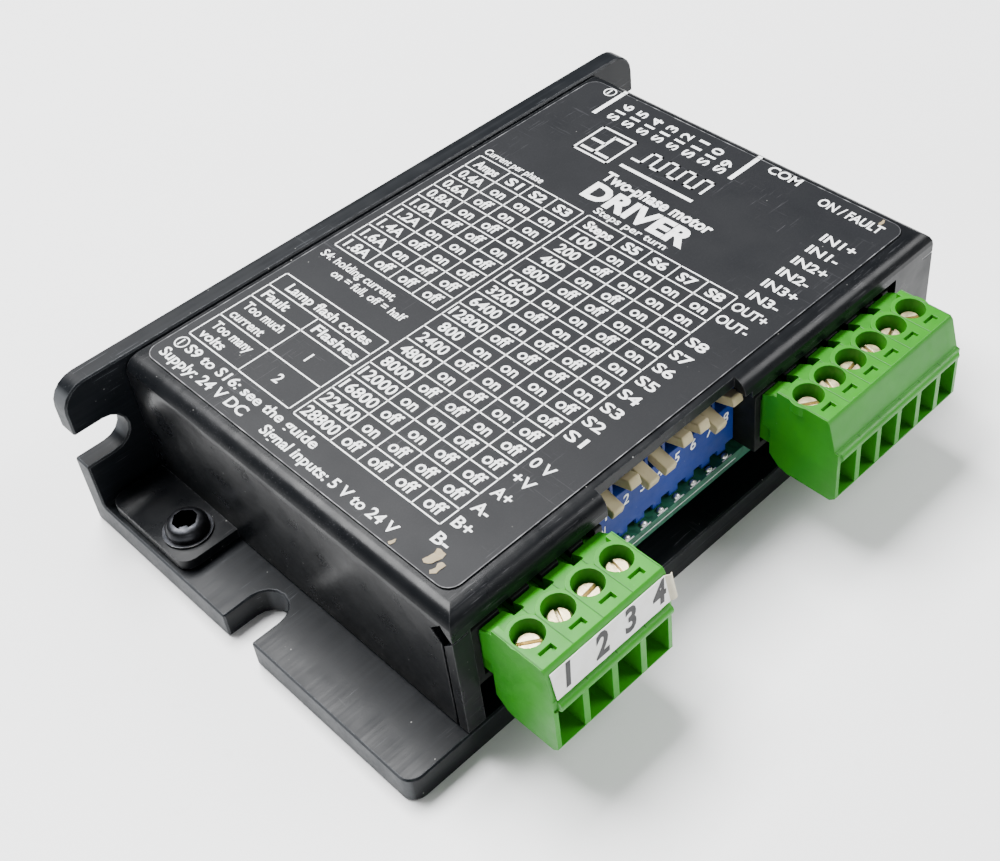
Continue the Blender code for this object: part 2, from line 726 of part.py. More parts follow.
def place_front(along, out, z):
    """World point for the front switch: out is measured outwards from its face."""
    return (FRONT_DIP_X + along, COVER_FRONT + DIP_FACE_SETBACK - out, z)


def place_end(along, out, z):
    """World point for the switch on the far end."""
    return (COVER_FAR - DIP_FACE_SETBACK + out, END_DIP_Y + along, z)


def placed_box(place, low, high):
    """Block between two points given in a switch's own (along, out, z) frame."""
    a, b = place(*low), place(*high)
    return [min(pair) for pair in zip(a, b)], [max(pair) for pair in zip(a, b)]


def lever_along(number):
    """Offset of a lever along its switch."""
    return (number - 1 - (DIP_WAYS - 1) / 2) * DIP_PITCH


def build_dip_body(name, place):
    """Switch body with one pocket for each lever."""
    half = DIP_WAYS * DIP_PITCH / 2 + DIP_MARGIN - 0.2
    shape = bmesh.new()
    box(shape, *placed_box(place, (-half, -DIP_DEPTH, PCB_TOP + GAP), (half, 0.0, DIP_TOP)))
    body = add_object(name, shape, SWITCH_BLUE)
    cutters = []
    for number in range(1, DIP_WAYS + 1):
        middle = lever_along(number)
        low, high = placed_box(place, (middle - DIP_SLOT_WIDTH / 2, -DIP_SLOT_DEPTH, DIP_SLOT_BOTTOM),
                               (middle + DIP_SLOT_WIDTH / 2, 1.0, DIP_SLOT_TOP))
        cutters.append(block_tool(low, high))
    combine(body, cutters)
    return body


def build_lever(name, place, number, is_up):
    """Rocker lever: a round root on its pivot and a key that sticks out of the face."""
    middle = lever_along(number)
    pivot = place(middle, -LEVER_PIVOT_DEPTH, LEVER_PIVOT_Z)
    tilt = LEVER_TILT if is_up else -LEVER_TILT
    half = LEVER_THICKNESS / 2
    root = 0.85
    outline = arc((0.0, 0.0), root, 125, 235, 5)
    outline += [(0.9, -half), (LEVER_REACH - 0.15, -half), (LEVER_REACH, -half + 0.2),
                (LEVER_REACH, half - 0.2), (LEVER_REACH - 0.15, half), (0.9, half)]
    c, s = math.cos(tilt), math.sin(tilt)
    shape = bmesh.new()
    rings = []
    for side in (-LEVER_WIDTH / 2, LEVER_WIDTH / 2):
        ring = []
        for out, rise in outline:
            turned = (out * c - rise * s, out * s + rise * c)
            ring.append(shape.verts.new(place(middle + side, turned[0] - LEVER_PIVOT_DEPTH,
                                              LEVER_PIVOT_Z + turned[1])))
        rings.append(ring)
    count = len(outline)
    shape.faces.new(rings[0])
    shape.faces.new(list(reversed(rings[1])))
    for index in range(count):
        after = (index + 1) % count
        shape.faces.new((rings[0][after], rings[0][index], rings[1][index], rings[1][after]))
    return add_object(name, shape, LEVER_CREAM, pivot)


def build_switch(prefix, place, levers_up):
    """One eight-way switch: body and levers."""
    build_dip_body(prefix + "_body", place)
    for number in range(1, DIP_WAYS + 1):
        build_lever("%s_lever_%d" % (prefix, number), place, number, number in levers_up)


# ---------------------------------------------------------------- far end and inside

def build_comm_socket():
    """Small modular communication socket behind the far end wall."""
    out = COVER_FAR - SHEET - GAP
    low_y, high_y = SOCKET_Y - SOCKET_WIDTH / 2, SOCKET_Y + SOCKET_WIDTH / 2
    shape = bmesh.new()
    foot = PCB_TOP + GAP
    box(shape, (out - SOCKET_DEPTH, low_y, foot), (out, high_y, SOCKET_TOP))
    socket = add_object("comm_socket", shape, SOCKET_BLACK)
    mouth = block_tool((out - 9.5, low_y + 1.1, foot + 2.6), (out + 1.0, high_y - 1.1, SOCKET_TOP - 1.1))
    latch = block_tool((out - 7.0, SOCKET_Y - 1.7, foot + 1.1), (out + 1.0, SOCKET_Y + 1.7, foot + 3.4))
    combine(socket, [mouth])
    combine(socket, [latch])
    return socket


def build_lamp(name, y, finish):
    """Domed status lamp that shows through its hole in the far end wall."""
    shape = bmesh.new()
    back = COVER_FAR - SHEET - 3.6
    outline = [(LED_RADIUS, back), (LED_RADIUS, COVER_FAR - 0.4), (LED_RADIUS * 0.82, COVER_FAR + 0.15),
               (LED_RADIUS * 0.4, COVER_FAR + 0.45)]
    turn_profile(shape, outline, (y, LED_Z), 16, 0)
    lamp = add_object(name, shape, finish, (back, y, LED_Z))
    smooth_rounds(lamp, 40.0)
    return lamp


def build_capacitor(name, x, y):
    """Electrolytic capacitor on the supply input, with the crimp near its foot."""
    shape = bmesh.new()
    foot = PCB_TOP + GAP
    outline = [(3.9, foot), (4.0, foot + 0.8), (3.75, foot + 1.2), (4.0, foot + 1.6),
               (4.0, 17.6), (3.5, 18.0)]
    turn_profile(shape, outline, (x, y), 20)
    capacitor = add_object(name, shape, CAPACITOR_SLEEVE, (x, y, foot))
    smooth_rounds(capacitor, 40.0)
    return capacitor


def build_output_chip():
    """Output-stage package that stands against the heat-sink wall."""
    shape = bmesh.new()
    back = WALL_INNER - 2 * GAP - PAD_THICKNESS
    box(shape, (CHIP_X - 10.0, back - 3.2, PCB_TOP + 0.8), (CHIP_X + 10.0, back, 18.2))
    return add_object("output_chip", shape, CHIP_BLACK)


def build_thermal_pad():
    """Compliant pad between the output package and the wall."""
    shape = bmesh.new()
    back = WALL_INNER - GAP
    box(shape, (CHIP_X - 10.3, back - PAD_THICKNESS, PCB_TOP + 0.6), (CHIP_X + 10.3, back, 18.4))
    return add_object("thermal_pad", shape, PAD_GREY)


def build_processor():
    """Flat control processor in the middle of the board."""
    shape = bmesh.new()
    foot = PCB_TOP + GAP
    box(shape, (4.0, -4.5, foot), (13.0, 4.5, foot + 1.2))
    return add_object("control_processor", shape, CHIP_BLACK)


# ---------------------------------------------------------------- finishes and assembly

clear_scene()
BLACK_ANODISE = material("black_anodise", (0.014, 0.016, 0.020), 0.38, 0.7)
BLACK_PAINT = material("black_paint", (0.013, 0.014, 0.019), 0.26, 0.2)
LABEL_FILM = material("label_film", (0.035, 0.036, 0.040), 0.6)
SCREW_BLACK = material("screw_black", (0.020, 0.021, 0.024), 0.4, 0.8)
PCB_GREEN = material("pcb_green", (0.010, 0.090, 0.045), 0.45)
ALUMINIUM = material("spacer_aluminium", (0.70, 0.71, 0.72), 0.35, 1.0)
HEADER_BLACK = material("header_black", (0.045, 0.048, 0.050), 0.55)
TINNED_BRASS = material("tinned_brass", (0.62, 0.57, 0.45), 0.32, 1.0)
PLUG_GREEN = material("plug_green", (0.085, 0.50, 0.080), 0.42)
PAPER_WHITE = material("paper_white", (0.80, 0.80, 0.78), 0.7)
SWITCH_BLUE = material("switch_blue", (0.020, 0.105, 0.46), 0.42)
LEVER_CREAM = material("lever_cream", (0.80, 0.76, 0.62), 0.45)
SOCKET_BLACK = material("socket_black", (0.030, 0.031, 0.033), 0.5)
LAMP_GREEN = material("lamp_green", (0.30, 0.62, 0.30), 0.2)
LAMP_RED = material("lamp_red", (0.60, 0.16, 0.14), 0.2)
CAPACITOR_SLEEVE = material("capacitor_sleeve", (0.02, 0.02, 0.03), 0.35)
CHIP_BLACK = material("chip_black", (0.02, 0.02, 0.022), 0.6)
PAD_GREY = material("pad_grey", (0.35, 0.37, 0.42), 0.85)


def build_terminal(ways_name, plug):
    """One pluggable terminal: header, plug, wire cages and clamp screws."""
    build_header("header_" + ways_name, plug)
    build_plug("plug_" + ways_name, plug)
    for number, x in enumerate(clamp_places(plug), start=1):
        turn = SLOT_TURNS[number % len(SLOT_TURNS)]
        build_clamp_screw("clamp_screw_%s_%d" % (ways_name, number), plug, x, turn)
        build_cage("wire_cage_%s_%d" % (ways_name, number), plug, x)


def build_all():
    """The whole drive."""
    build_heat_sink()
    build_cover()
    build_label()
    for end, side in ((-1, "near"), (1, "far")):
        build_pan_screw("cover_screw_" + side, (tab_screw_x(end), TAB_SCREW_Y), COVER_FOOT + SHEET + 0.25,
                        2.35, 1.5, 1.0, 3.6)
    build_board()
    build_standoffs()
    build_terminal("4way", PLUG_4WAY)
    build_terminal("6way", PLUG_6WAY)
    build_marker_strip()
    build_switch("front_switch", place_front, FRONT_LEVERS_UP)
    build_switch("end_switch", place_end, END_LEVERS_UP)
    build_comm_socket()
    build_lamp("power_lamp", LED_SPOTS[0], LAMP_GREEN)
    build_lamp("alarm_lamp", LED_SPOTS[1], LAMP_RED)
    for number, x in enumerate(CAPACITOR_X, start=1):
        build_capacitor("supply_capacitor_%d" % number, x, CAPACITOR_Y)
    build_output_chip()
    build_thermal_pad()
    build_processor()


build_all()
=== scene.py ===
import json
import math
import random

import bmesh
import bpy
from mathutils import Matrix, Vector

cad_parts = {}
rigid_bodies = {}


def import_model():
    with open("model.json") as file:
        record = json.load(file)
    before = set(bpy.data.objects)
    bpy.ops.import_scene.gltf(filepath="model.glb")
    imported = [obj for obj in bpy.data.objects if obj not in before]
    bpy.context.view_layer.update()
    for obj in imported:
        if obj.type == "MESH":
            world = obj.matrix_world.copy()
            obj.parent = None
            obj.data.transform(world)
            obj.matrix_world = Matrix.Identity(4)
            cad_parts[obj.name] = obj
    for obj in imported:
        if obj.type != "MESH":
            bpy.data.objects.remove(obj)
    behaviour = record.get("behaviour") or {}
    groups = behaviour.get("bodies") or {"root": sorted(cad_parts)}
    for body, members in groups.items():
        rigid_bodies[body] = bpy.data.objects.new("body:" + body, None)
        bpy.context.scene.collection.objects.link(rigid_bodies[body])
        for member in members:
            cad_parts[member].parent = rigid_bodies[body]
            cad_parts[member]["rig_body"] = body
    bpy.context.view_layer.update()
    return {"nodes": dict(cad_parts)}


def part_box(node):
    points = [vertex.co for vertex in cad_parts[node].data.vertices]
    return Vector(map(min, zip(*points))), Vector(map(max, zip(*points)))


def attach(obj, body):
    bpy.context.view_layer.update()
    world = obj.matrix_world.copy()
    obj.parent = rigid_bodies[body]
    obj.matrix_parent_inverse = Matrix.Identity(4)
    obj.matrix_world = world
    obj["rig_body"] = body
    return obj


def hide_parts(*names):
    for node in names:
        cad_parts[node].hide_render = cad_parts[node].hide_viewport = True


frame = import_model()
NODES = frame["nodes"]
MM = 0.001

# Label print, in millimetres of the row frame.  Lines run towards -Y and letters stand towards +X.
INK_HEIGHT = 1.3
CURRENT_COLUMNS = (22.45, 17.09, 13.09, 9.09, 4.95)
STEP_COLUMNS = (4.14, -1.77, -5.86, -9.95, -14.0, -18.05)
CODE_COLUMNS = (22.45, 13.64, 4.95)
TABLE_TOP = 14.12
TABLE_HEAD = 11.5
ROW_PITCH = 2.493
CURRENT_ROWS = 8
STEP_ROWS = 16
CODE_LINES = (-15.16, -17.66, -20.11, -24.25, -28.3)
RULE = 0.16
SIDE_NAMES_Y = -18.5
INK_LIFT = 0.012
SIGN_LIFT = 0.008
BORDER_INSET = 0.02
BORDER_RADIUS = 1.6
BORDER_WIDTH = 0.09
TEAR_LIMIT = 0.11

# Terminals: first way, pitch and number of ways.
WAYS_4 = (-30.2, 3.81, 4)
WAYS_6 = (9.5, 3.5, 6)

# Small hardware, in millimetres.
WASHER_OUTER = 2.75
WASHER_INNER = 1.9
WASHER_SIDES = 40
WASHER_TOP = 1.49
WASHER_THICK = 0.22
CONTACT_LOW = 11.4
CONTACT_HIGH = 12.6
SWITCH_WAYS = 8
SWITCH_PITCH = 2.54
SOLDER_RADIUS = 0.48
SCREW_HEAD = (2.3, 1.7, 1.3)
SCREW_SHANK = (1.0, 1.0, 5.0)
LEADS_A_SIDE = 16
LEAD_PITCH = 0.5
LEAD_HALF_WIDTH = 0.12
LEAD_START = 4.5
LEAD_END = 5.6
LEAD_FOOT = 0.02
LEAD_TOP = 0.16

# Marker tape: the loose end, and how far the tape stands off its slope.
FLAP_LENGTH = 1.25
TAPE_THICK = 0.10
TAPE_OFF = 0.05
NUMBER_OFF = 0.13

# Studio: floor half-width in millimetres, the rest in metres, radians and Blender's lens units.
FLOOR_REACH = 1500.0
FLOOR_DROP = 0.00002
CAMERA_PLACE = (-0.080626, -0.096415, 0.125333)
CAMERA_TURN = (0.822991, 0.053212, -0.800382)
CAMERA_LENS = 54.3927
CAMERA_SHIFT = (-0.094118, -0.067932)
WORLD_STRENGTH = 0.25


# ---------------------------------------------------------------- materials

class Paint:
    """A procedural material: layers of noise and wear over one Principled shader."""

    def __init__(self, name, colour, roughness, metallic=0.0):
        self.material = bpy.data.materials.new(name)
        self.material.use_nodes = True
        self.tree = self.material.node_tree
        self.shader = self.tree.nodes["Principled BSDF"]
        self.shader.inputs["Metallic"].default_value = metallic
        coords = self.add("ShaderNodeTexCoord")
        scale = self.add("ShaderNodeVectorMath", operation="SCALE")
        scale.inputs["Scale"].default_value = 1000.0
        self.join(coords.outputs["Object"], scale.inputs[0])
        self.place = scale.outputs[0]
        self.colour = self.value_colour(colour)
        self.roughness = self.value(roughness)
        self.normal = None
        self.metallic = None

    def add(self, kind, **properties):
        made = self.tree.nodes.new(kind)
        for key, setting in properties.items():
            setattr(made, key, setting)
        return made

    def join(self, source, target):
        self.tree.links.new(source, target)

    def value(self, number):
        made = self.add("ShaderNodeValue")
        made.outputs[0].default_value = number
        return made.outputs[0]

    def value_colour(self, colour):
        made = self.add("ShaderNodeRGB")
        made.outputs[0].default_value = (*colour, 1.0)
        return made.outputs[0]

    def math(self, operation, first, second=0.0):
        made = self.add("ShaderNodeMath", operation=operation)
        for socket, given in zip(made.inputs, (first, second)):
            if isinstance(given, (int, float)):
                socket.default_value = given
            else:
                self.join(given, socket)
        return made.outputs[0]

    def axis(self, index):
        """One coordinate of the surface point, in millimetres."""
        made = self.add("ShaderNodeSeparateXYZ")
        self.join(self.place, made.inputs[0])
        return made.outputs[index]

    def facing(self, index, low, high):
        """Mask that rises from 0 to 1 as the surface turns to face along one axis."""
        made = self.add("ShaderNodeNewGeometry")
        split = self.add("ShaderNodeSeparateXYZ")
        self.join(made.outputs["Normal"], split.inputs[0])
        return self.span(split.outputs[index], low, high)

    def noise(self, scale, detail=4.0, stretch=(1.0, 1.0, 1.0), distortion=0.0, shift=0.0):
        """Noise with this many features to a millimetre, stretched along the axes."""
        spread = self.add("ShaderNodeVectorMath", operation="MULTIPLY_ADD")
        self.join(self.place, spread.inputs[0])
        spread.inputs[1].default_value = stretch
        spread.inputs[2].default_value = (shift, shift * 0.7, shift * 1.3)
        made = self.add("ShaderNodeTexNoise")
        made.inputs["Scale"].default_value = scale
        made.inputs["Detail"].default_value = detail
        made.inputs["Distortion"].default_value = distortion
        self.join(spread.outputs[0], made.inputs["Vector"])
        return made.outputs["Fac"]

    def span(self, source, low, high, to_low=0.0, to_high=1.0):
        """Map a range of a value onto another, clamped."""
        made = self.add("ShaderNodeMapRange")
        for key, setting in (("From Min", low), ("From Max", high), ("To Min", to_low), ("To Max", to_high)):
            made.inputs[key].default_value = setting
        self.join(source, made.inputs["Value"])
        return made.outputs[0]

    def tint(self, mask, colour, strength=1.0):
        """Blend the base colour towards another where the mask is high."""
        made = self.add("ShaderNodeMix", data_type="RGBA")
        self.join(self.math("MULTIPLY", mask, strength), made.inputs["Factor"])
        self.join(self.colour, made.inputs["A"])
        made.inputs["B"].default_value = (*colour, 1.0)
        self.colour = made.outputs["Result"]

    def rough(self, mask, amount):
        """Raise or lower the roughness where the mask is high."""
        self.roughness = self.math("ADD", self.roughness, self.math("MULTIPLY", mask, amount))

    def bump(self, height, strength, distance=0.02):
        """Add relief; distance is in millimetres."""
        made = self.add("ShaderNodeBump")
        made.inputs["Strength"].default_value = strength
        made.inputs["Distance"].default_value = distance * MM
        self.join(height, made.inputs["Height"])
        if self.normal:
            self.join(self.normal, made.inputs["Normal"])
        self.normal = made.outputs[0]

    def round_edges(self, radius):
        """Round the edges in shading, and return a mask that is 1 on them."""
        soft = self.add("ShaderNodeBevel", samples=4)
        soft.inputs["Radius"].default_value = radius * MM
        flat = self.add("ShaderNodeNewGeometry")
        turn = self.add("ShaderNodeVectorMath", operation="DOT_PRODUCT")
        self.join(soft.outputs[0], turn.inputs[0])
        self.join(flat.outputs["Normal"], turn.inputs[1])
        self.normal = soft.outputs[0]
        return self.span(turn.outputs["Value"], 0.985, 0.80)

    def wear(self, edge, colour, amount, metallic=0.0, scale=1.3):
        """Wear the finish off along its edges, in patches."""
        patches = self.span(self.noise(scale, 6.0, shift=3.0), 0.62 - amount * 0.35, 0.70 - amount * 0.2)
        mask = self.math("MULTIPLY", edge, patches)
        self.tint(mask, colour, 0.85)
        if metallic:
            self.metallic = self.math("MULTIPLY", mask, metallic)
        return mask

    def scratches(self, colour, strength, along=0, scale=1.0, share=0.5):
        """Long thin scratches along one axis, broken up into groups."""
        stretch = [6.0, 6.0, 6.0]
        stretch[along] = 0.22
        lines = self.noise(scale, 2.0, stretch=tuple(stretch), distortion=0.25, shift=9.0)
        lines = self.math("MULTIPLY", self.span(lines, 0.66, 0.70), self.span(lines, 0.76, 0.72))
        groups = self.span(self.noise(0.11, 3.0, shift=5.0), 0.62 - share * 0.25, 0.70 - share * 0.2)
        mask = self.math("MULTIPLY", lines, groups)
        self.tint(mask, colour, strength)
        return mask

    def dust(self, colour=(0.42, 0.42, 0.40), strength=0.7, scale=1.1, size=0.10):
        """Small pale specks."""
        cells = self.add("ShaderNodeTexVoronoi")
        cells.inputs["Scale"].default_value = scale
        self.join(self.place, cells.inputs["Vector"])
        dots = self.span(cells.outputs["Distance"], size, size * 0.5)
        chosen = self.span(self.noise(0.45, 1.0, shift=11.0), 0.60, 0.66)
        self.tint(self.math("MULTIPLY", dots, chosen), colour, strength)

    def done(self):
        self.join(self.colour, self.shader.inputs["Base Color"])
        self.join(self.roughness, self.shader.inputs["Roughness"])
        if self.metallic:
            self.join(self.metallic, self.shader.inputs["Metallic"])
        if self.normal:
            self.join(self.normal, self.shader.inputs["Normal"])
        return self.material


def moulded(name, colour, shade, roughness=0.42, grain=9.0, relief=0.25, edge=0.12, grooves=None, glow=0.0,
            shine=0.3):
    """Injection-moulded plastic: fine sparked grain, flow marks and paler rubbed edges; with grooves given,
    painted shade in the gaps between ways.
    """
    paint = Paint(name, colour, roughness)
    paint.shader.inputs["Specular IOR Level"].default_value = shine
    rubbed = paint.round_edges(edge)
    paint.tint(paint.span(paint.noise(0.22, 4.0, shift=1.0), 0.35, 0.7), shade, 0.5)
    paint.tint(paint.span(paint.noise(1.6, 5.0, shift=2.0), 0.52, 0.75), shade, 0.25)
    pale = tuple(min(1.0, c * 1.3 + 0.006) for c in colour)
    paint.wear(rubbed, pale, 0.9)
    paint.rough(paint.span(paint.noise(0.8, 4.0, shift=4.0), 0.3, 0.75), 0.16)
    paint.bump(paint.noise(grain, 3.0), relief, 0.012)
    paint.bump(paint.noise(0.5, 2.0, shift=6.0), 0.15, 0.08)
    if grooves:
        first, pitch = grooves
        turns = paint.math("DIVIDE", paint.math("SUBTRACT", paint.axis(0), first - pitch / 2), pitch)
        offset = paint.math("ABSOLUTE", paint.math("SUBTRACT", paint.math("FRACT", turns), 0.5))
        # Painted shade: a dark line across the top faces at each gap between ways stands for the shade down
        # in the grooves; the bump below also dents it.
        line = paint.math("MULTIPLY", paint.span(offset, 0.480, 0.492), paint.facing(2, 0.80, 0.90))
        paint.tint(line, tuple(c * 0.25 for c in colour), 0.75)
        paint.bump(paint.math("SUBTRACT", 1.0, line), 0.5, 0.06)
    if glow:
        paint.shader.inputs["Subsurface Weight"].default_value = glow
        paint.shader.inputs["Subsurface Radius"].default_value = (0.6 * MM, 1.0 * MM, 0.4 * MM)
        paint.shader.inputs["Subsurface Scale"].default_value = 1.0
    paint.dust(strength=0.25, scale=0.9, size=0.07)
    return paint.done()


def anodised():
    """Black anodised extrusion: drawn lines along its length, bare metal at knocked edges."""
    paint = Paint("heat_sink_anodise", (0.0036, 0.0046, 0.0060), 0.30, 0.0)
    edge = paint.round_edges(0.18)
    lines = paint.noise(2.2, 3.0, stretch=(0.012, 1.0, 1.0))
    paint.tint(paint.span(lines, 0.45, 0.75), (0.0075, 0.0088, 0.0112), 0.7)
    paint.tint(paint.span(paint.noise(0.10, 5.0, shift=2.0), 0.45, 0.75), (0.0070, 0.0080, 0.0098), 0.5)
    sawn = paint.math("MAXIMUM", paint.facing(0, -0.6, -0.8), paint.facing(0, 0.6, 0.8))
    paint.tint(sawn, (0.060, 0.064, 0.069), 0.9)
    paint.rough(sawn, 0.15)
    paint.rough(paint.span(lines, 0.4, 0.7), 0.10)
    paint.rough(paint.span(paint.noise(0.35, 5.0, shift=8.0), 0.4, 0.8), 0.12)
    paint.scratches((0.060, 0.064, 0.070), 0.7, along=0, scale=0.8, share=0.5)
    paint.scratches((0.050, 0.052, 0.056), 0.6, along=1, scale=0.9, share=0.25)
    paint.wear(edge, (0.13, 0.135, 0.145), 0.95, metallic=0.6, scale=0.9)
    paint.bump(lines, 0.12, 0.02)
    paint.bump(paint.noise(11.0, 2.0), 0.10, 0.006)
    paint.dust(strength=0.6)
    paint.shader.inputs["Specular IOR Level"].default_value = 0.14
    return paint.done()


def enamel():
    """Semi-gloss black enamel on folded sheet: orange peel, pale scratch lines over every face that partly
    stand for streaked highlights, and worn edges.
    """
    paint = Paint("cover_enamel", (0.0034, 0.0040, 0.0050), 0.26, 0.0)
    edge = paint.round_edges(0.16)
    paint.tint(paint.span(paint.noise(0.16, 5.0, shift=2.0), 0.45, 0.8), (0.0080, 0.0086, 0.0100), 0.6)
    paint.rough(paint.span(paint.noise(0.30, 5.0, shift=8.0), 0.35, 0.8), 0.18)
    # Pale streaks along X: scratches in the paint, also painted pale to stand for the streaked highlights
    # along the bends.
    paint.scratches((0.070, 0.070, 0.076), 0.55, along=0, scale=1.3, share=0.65)
    paint.scratches((0.060, 0.060, 0.066), 0.5, along=2, scale=1.1, share=0.35)
    paint.wear(edge, (0.080, 0.083, 0.087), 0.8, scale=1.6)
    paint.bump(paint.noise(3.4, 3.0), 0.16, 0.02)
    paint.bump(paint.noise(0.25, 2.0, shift=3.0), 0.30, 0.25)
    paint.dust(strength=0.7)
    paint.shader.inputs["Specular IOR Level"].default_value = 0.14
    paint.shader.inputs["Coat Weight"].default_value = 0.03
    paint.shader.inputs["Coat Roughness"].default_value = 0.16
    return paint.done()


def film():
    """Matt charcoal label film: fine tooth, rub marks and greasy patches."""
    paint = Paint("label_film", (0.0062, 0.0068, 0.0084), 0.50)
    paint.round_edges(0.05)
    paint.tint(paint.span(paint.noise(0.07, 5.0, shift=2.0), 0.4, 0.8), (0.0100, 0.0106, 0.0122), 0.7)
    paint.tint(paint.span(paint.noise(7.0, 3.0), 0.45, 0.75), (0.0120, 0.0126, 0.0146), 0.5)
    paint.rough(paint.span(paint.noise(0.2, 5.0, shift=8.0), 0.35, 0.8), -0.10)
    paint.scratches((0.050, 0.050, 0.055), 0.6, along=0, scale=1.0, share=0.45)
    paint.scratches((0.045, 0.045, 0.050), 0.5, along=1, scale=1.0, share=0.40)
    paint.bump(paint.noise(9.0, 2.0), 0.25, 0.012)
    paint.dust(strength=0.4, scale=0.8, size=0.08)
    paint.shader.inputs["Specular IOR Level"].default_value = 0.16
    return paint.done()


def ink():
    """White screen print, thinner in places and rubbed."""
    paint = Paint("print_white", (0.82, 0.83, 0.83), 0.5)
    paint.tint(paint.span(paint.noise(1.4, 6.0, shift=2.0), 0.50, 0.78), (0.46, 0.465, 0.475), 0.55)
    paint.tint(paint.span(paint.noise(0.12, 4.0, shift=5.0), 0.50, 0.85), (0.56, 0.56, 0.57), 0.5)
    paint.bump(paint.noise(9.0, 2.0), 0.2, 0.01)
    return paint.done()


def tinned():
    """Plated brass screws and cages: turned lines, tarnish, and a painted highlight along every edge."""
    paint = Paint("tinned_brass", (0.70, 0.59, 0.36), 0.36, 1.0)
    edge = paint.round_edges(0.07)
    paint.tint(paint.span(paint.noise(1.1, 6.0, shift=2.0), 0.42, 0.72), (0.42, 0.34, 0.20), 0.55)
    paint.tint(paint.span(paint.noise(3.0, 5.0, shift=7.0), 0.60, 0.75), (0.10, 0.08, 0.05), 0.6)
    # Painted highlight: every edge is tinted a pale bright brass, evenly, not in worn patches.
    paint.tint(edge, (0.80, 0.77, 0.68), 0.6)
    paint.rough(paint.span(paint.noise(2.0, 5.0, shift=4.0), 0.35, 0.8), 0.25)
    paint.bump(paint.noise(6.0, 4.0, stretch=(1.0, 0.3, 1.0)), 0.35, 0.03)
    return paint.done()


def blackened():
    """Blackened steel screw: pale where the driver has rubbed the recess."""
    paint = Paint("screw_black_oxide", (0.018, 0.019, 0.022), 0.30, 0.9)
    edge = paint.round_edges(0.10)
    paint.tint(paint.span(paint.noise(1.5, 5.0, shift=2.0), 0.45, 0.75), (0.05, 0.05, 0.055), 0.6)
    paint.wear(edge, (0.42, 0.42, 0.41), 0.9, scale=1.5)
    paint.rough(paint.span(paint.noise(2.0, 4.0), 0.35, 0.8), 0.2)
    paint.bump(paint.noise(5.0, 4.0), 0.25, 0.02)
    return paint.done()


def laminate():
    """Solder-masked board: woven glass under the mask, tracks showing faintly."""
    paint = Paint("board_laminate", (0.008, 0.060, 0.034), 0.32)
    weave = paint.math("MULTIPLY", paint.noise(2.2, 1.0, stretch=(1.0, 0.1, 1.0)),
                       paint.noise(2.2, 1.0, stretch=(0.1, 1.0, 1.0)))
    paint.tint(paint.span(weave, 0.2, 0.4), (0.018, 0.105, 0.060), 0.6)
    paint.tint(paint.span(paint.noise(0.5, 2.0, distortion=2.0), 0.50, 0.53), (0.020, 0.13, 0.070), 0.5)
    paint.bump(weave, 0.2, 0.02)
    paint.dust(strength=0.3)
    return paint.done()


def paper(name, colour, stain):
    """Marker tape: fibres and handling dirt, in patches and streaks."""
    paint = Paint(name, colour, 0.55)
    paint.tint(paint.span(paint.noise(0.5, 5.0, shift=2.0), 0.5, 0.8), stain, 0.55)
    paint.tint(paint.span(paint.noise(2.5, 5.0, stretch=(0.4, 1.0, 1.0)), 0.55, 0.8), stain, 0.35)
    paint.bump(paint.noise(5.0, 4.0, stretch=(0.5, 1.0, 1.0)), 0.3, 0.02)
    paint.shader.inputs["Subsurface Weight"].default_value = 0.05
    return paint.done()


def cast(name, colour, shade, roughness, metallic=0.0, grain=3.0, relief=0.3):
    """General mottled finish for small parts, with a painted highlight along every edge."""
    paint = Paint(name, colour, roughness, metallic)
    edge = paint.round_edges(0.06)
    paint.tint(paint.span(paint.noise(0.9, 5.0, shift=2.0), 0.40, 0.75), shade, 0.6)
    # Painted highlight: every edge is tinted lighter, evenly.
    paint.tint(edge, tuple(min(1.0, c * 1.6 + 0.02) for c in colour), 0.4)
    paint.rough(paint.span(paint.noise(1.3, 4.0, shift=4.0), 0.35, 0.8), 0.15)
    paint.bump(paint.noise(grain, 3.0), relief, 0.015)
    return paint.done()


def floor_paint():
    """Pale matt studio surface with a trace of marks."""
    paint = Paint("studio_surface", (0.86, 0.865, 0.87), 0.5)
    paint.tint(paint.span(paint.noise(0.02, 5.0), 0.4, 0.8), (0.80, 0.80, 0.80), 0.5)
    paint.tint(paint.span(paint.noise(0.5, 6.0, shift=3.0), 0.62, 0.8), (0.74, 0.74, 0.73), 0.3)
    paint.bump(paint.noise(1.2, 4.0), 0.1, 0.02)
    return paint.done()


ANODISE = anodised()
ENAMEL = enamel()
FILM = film()
INK = ink()
TIN = tinned()
OXIDE = blackened()
LAMINATE = laminate()
GREEN_4 = moulded("plug_green_4way", (0.020, 0.235, 0.004), (0.012, 0.150, 0.003), 0.34, glow=0.05,
                  grooves=WAYS_4[:2])
GREEN_6 = moulded("plug_green_6way", (0.018, 0.200, 0.004), (0.011, 0.130, 0.003), 0.34, glow=0.05,
                  grooves=WAYS_6[:2])
HEADER = moulded("header_moulding", (0.0040, 0.0055, 0.0046), (0.0025, 0.0035, 0.0030), 0.48, shine=0.2)
BLUE = moulded("switch_blue", (0.003, 0.026, 0.19), (0.002, 0.016, 0.12), 0.36, grain=7.0)
CREAM = moulded("lever_cream", (0.40, 0.345, 0.205), (0.26, 0.22, 0.12), 0.42, glow=0.06)
SOCKET = moulded("socket_moulding", (0.008, 0.009, 0.010), (0.005, 0.005, 0.006), 0.40, shine=0.2)
TAPE = paper("marker_tape", (0.78, 0.78, 0.77), (0.62, 0.60, 0.54))
TAPE_OLD = paper("marker_tape_yellowed", (0.60, 0.56, 0.42), (0.42, 0.37, 0.25))
TORN = paper("torn_backing", (0.26, 0.20, 0.11), (0.10, 0.075, 0.04))
BLACK_INK = cast("print_black", (0.012, 0.012, 0.013), (0.03, 0.03, 0.03), 0.5)
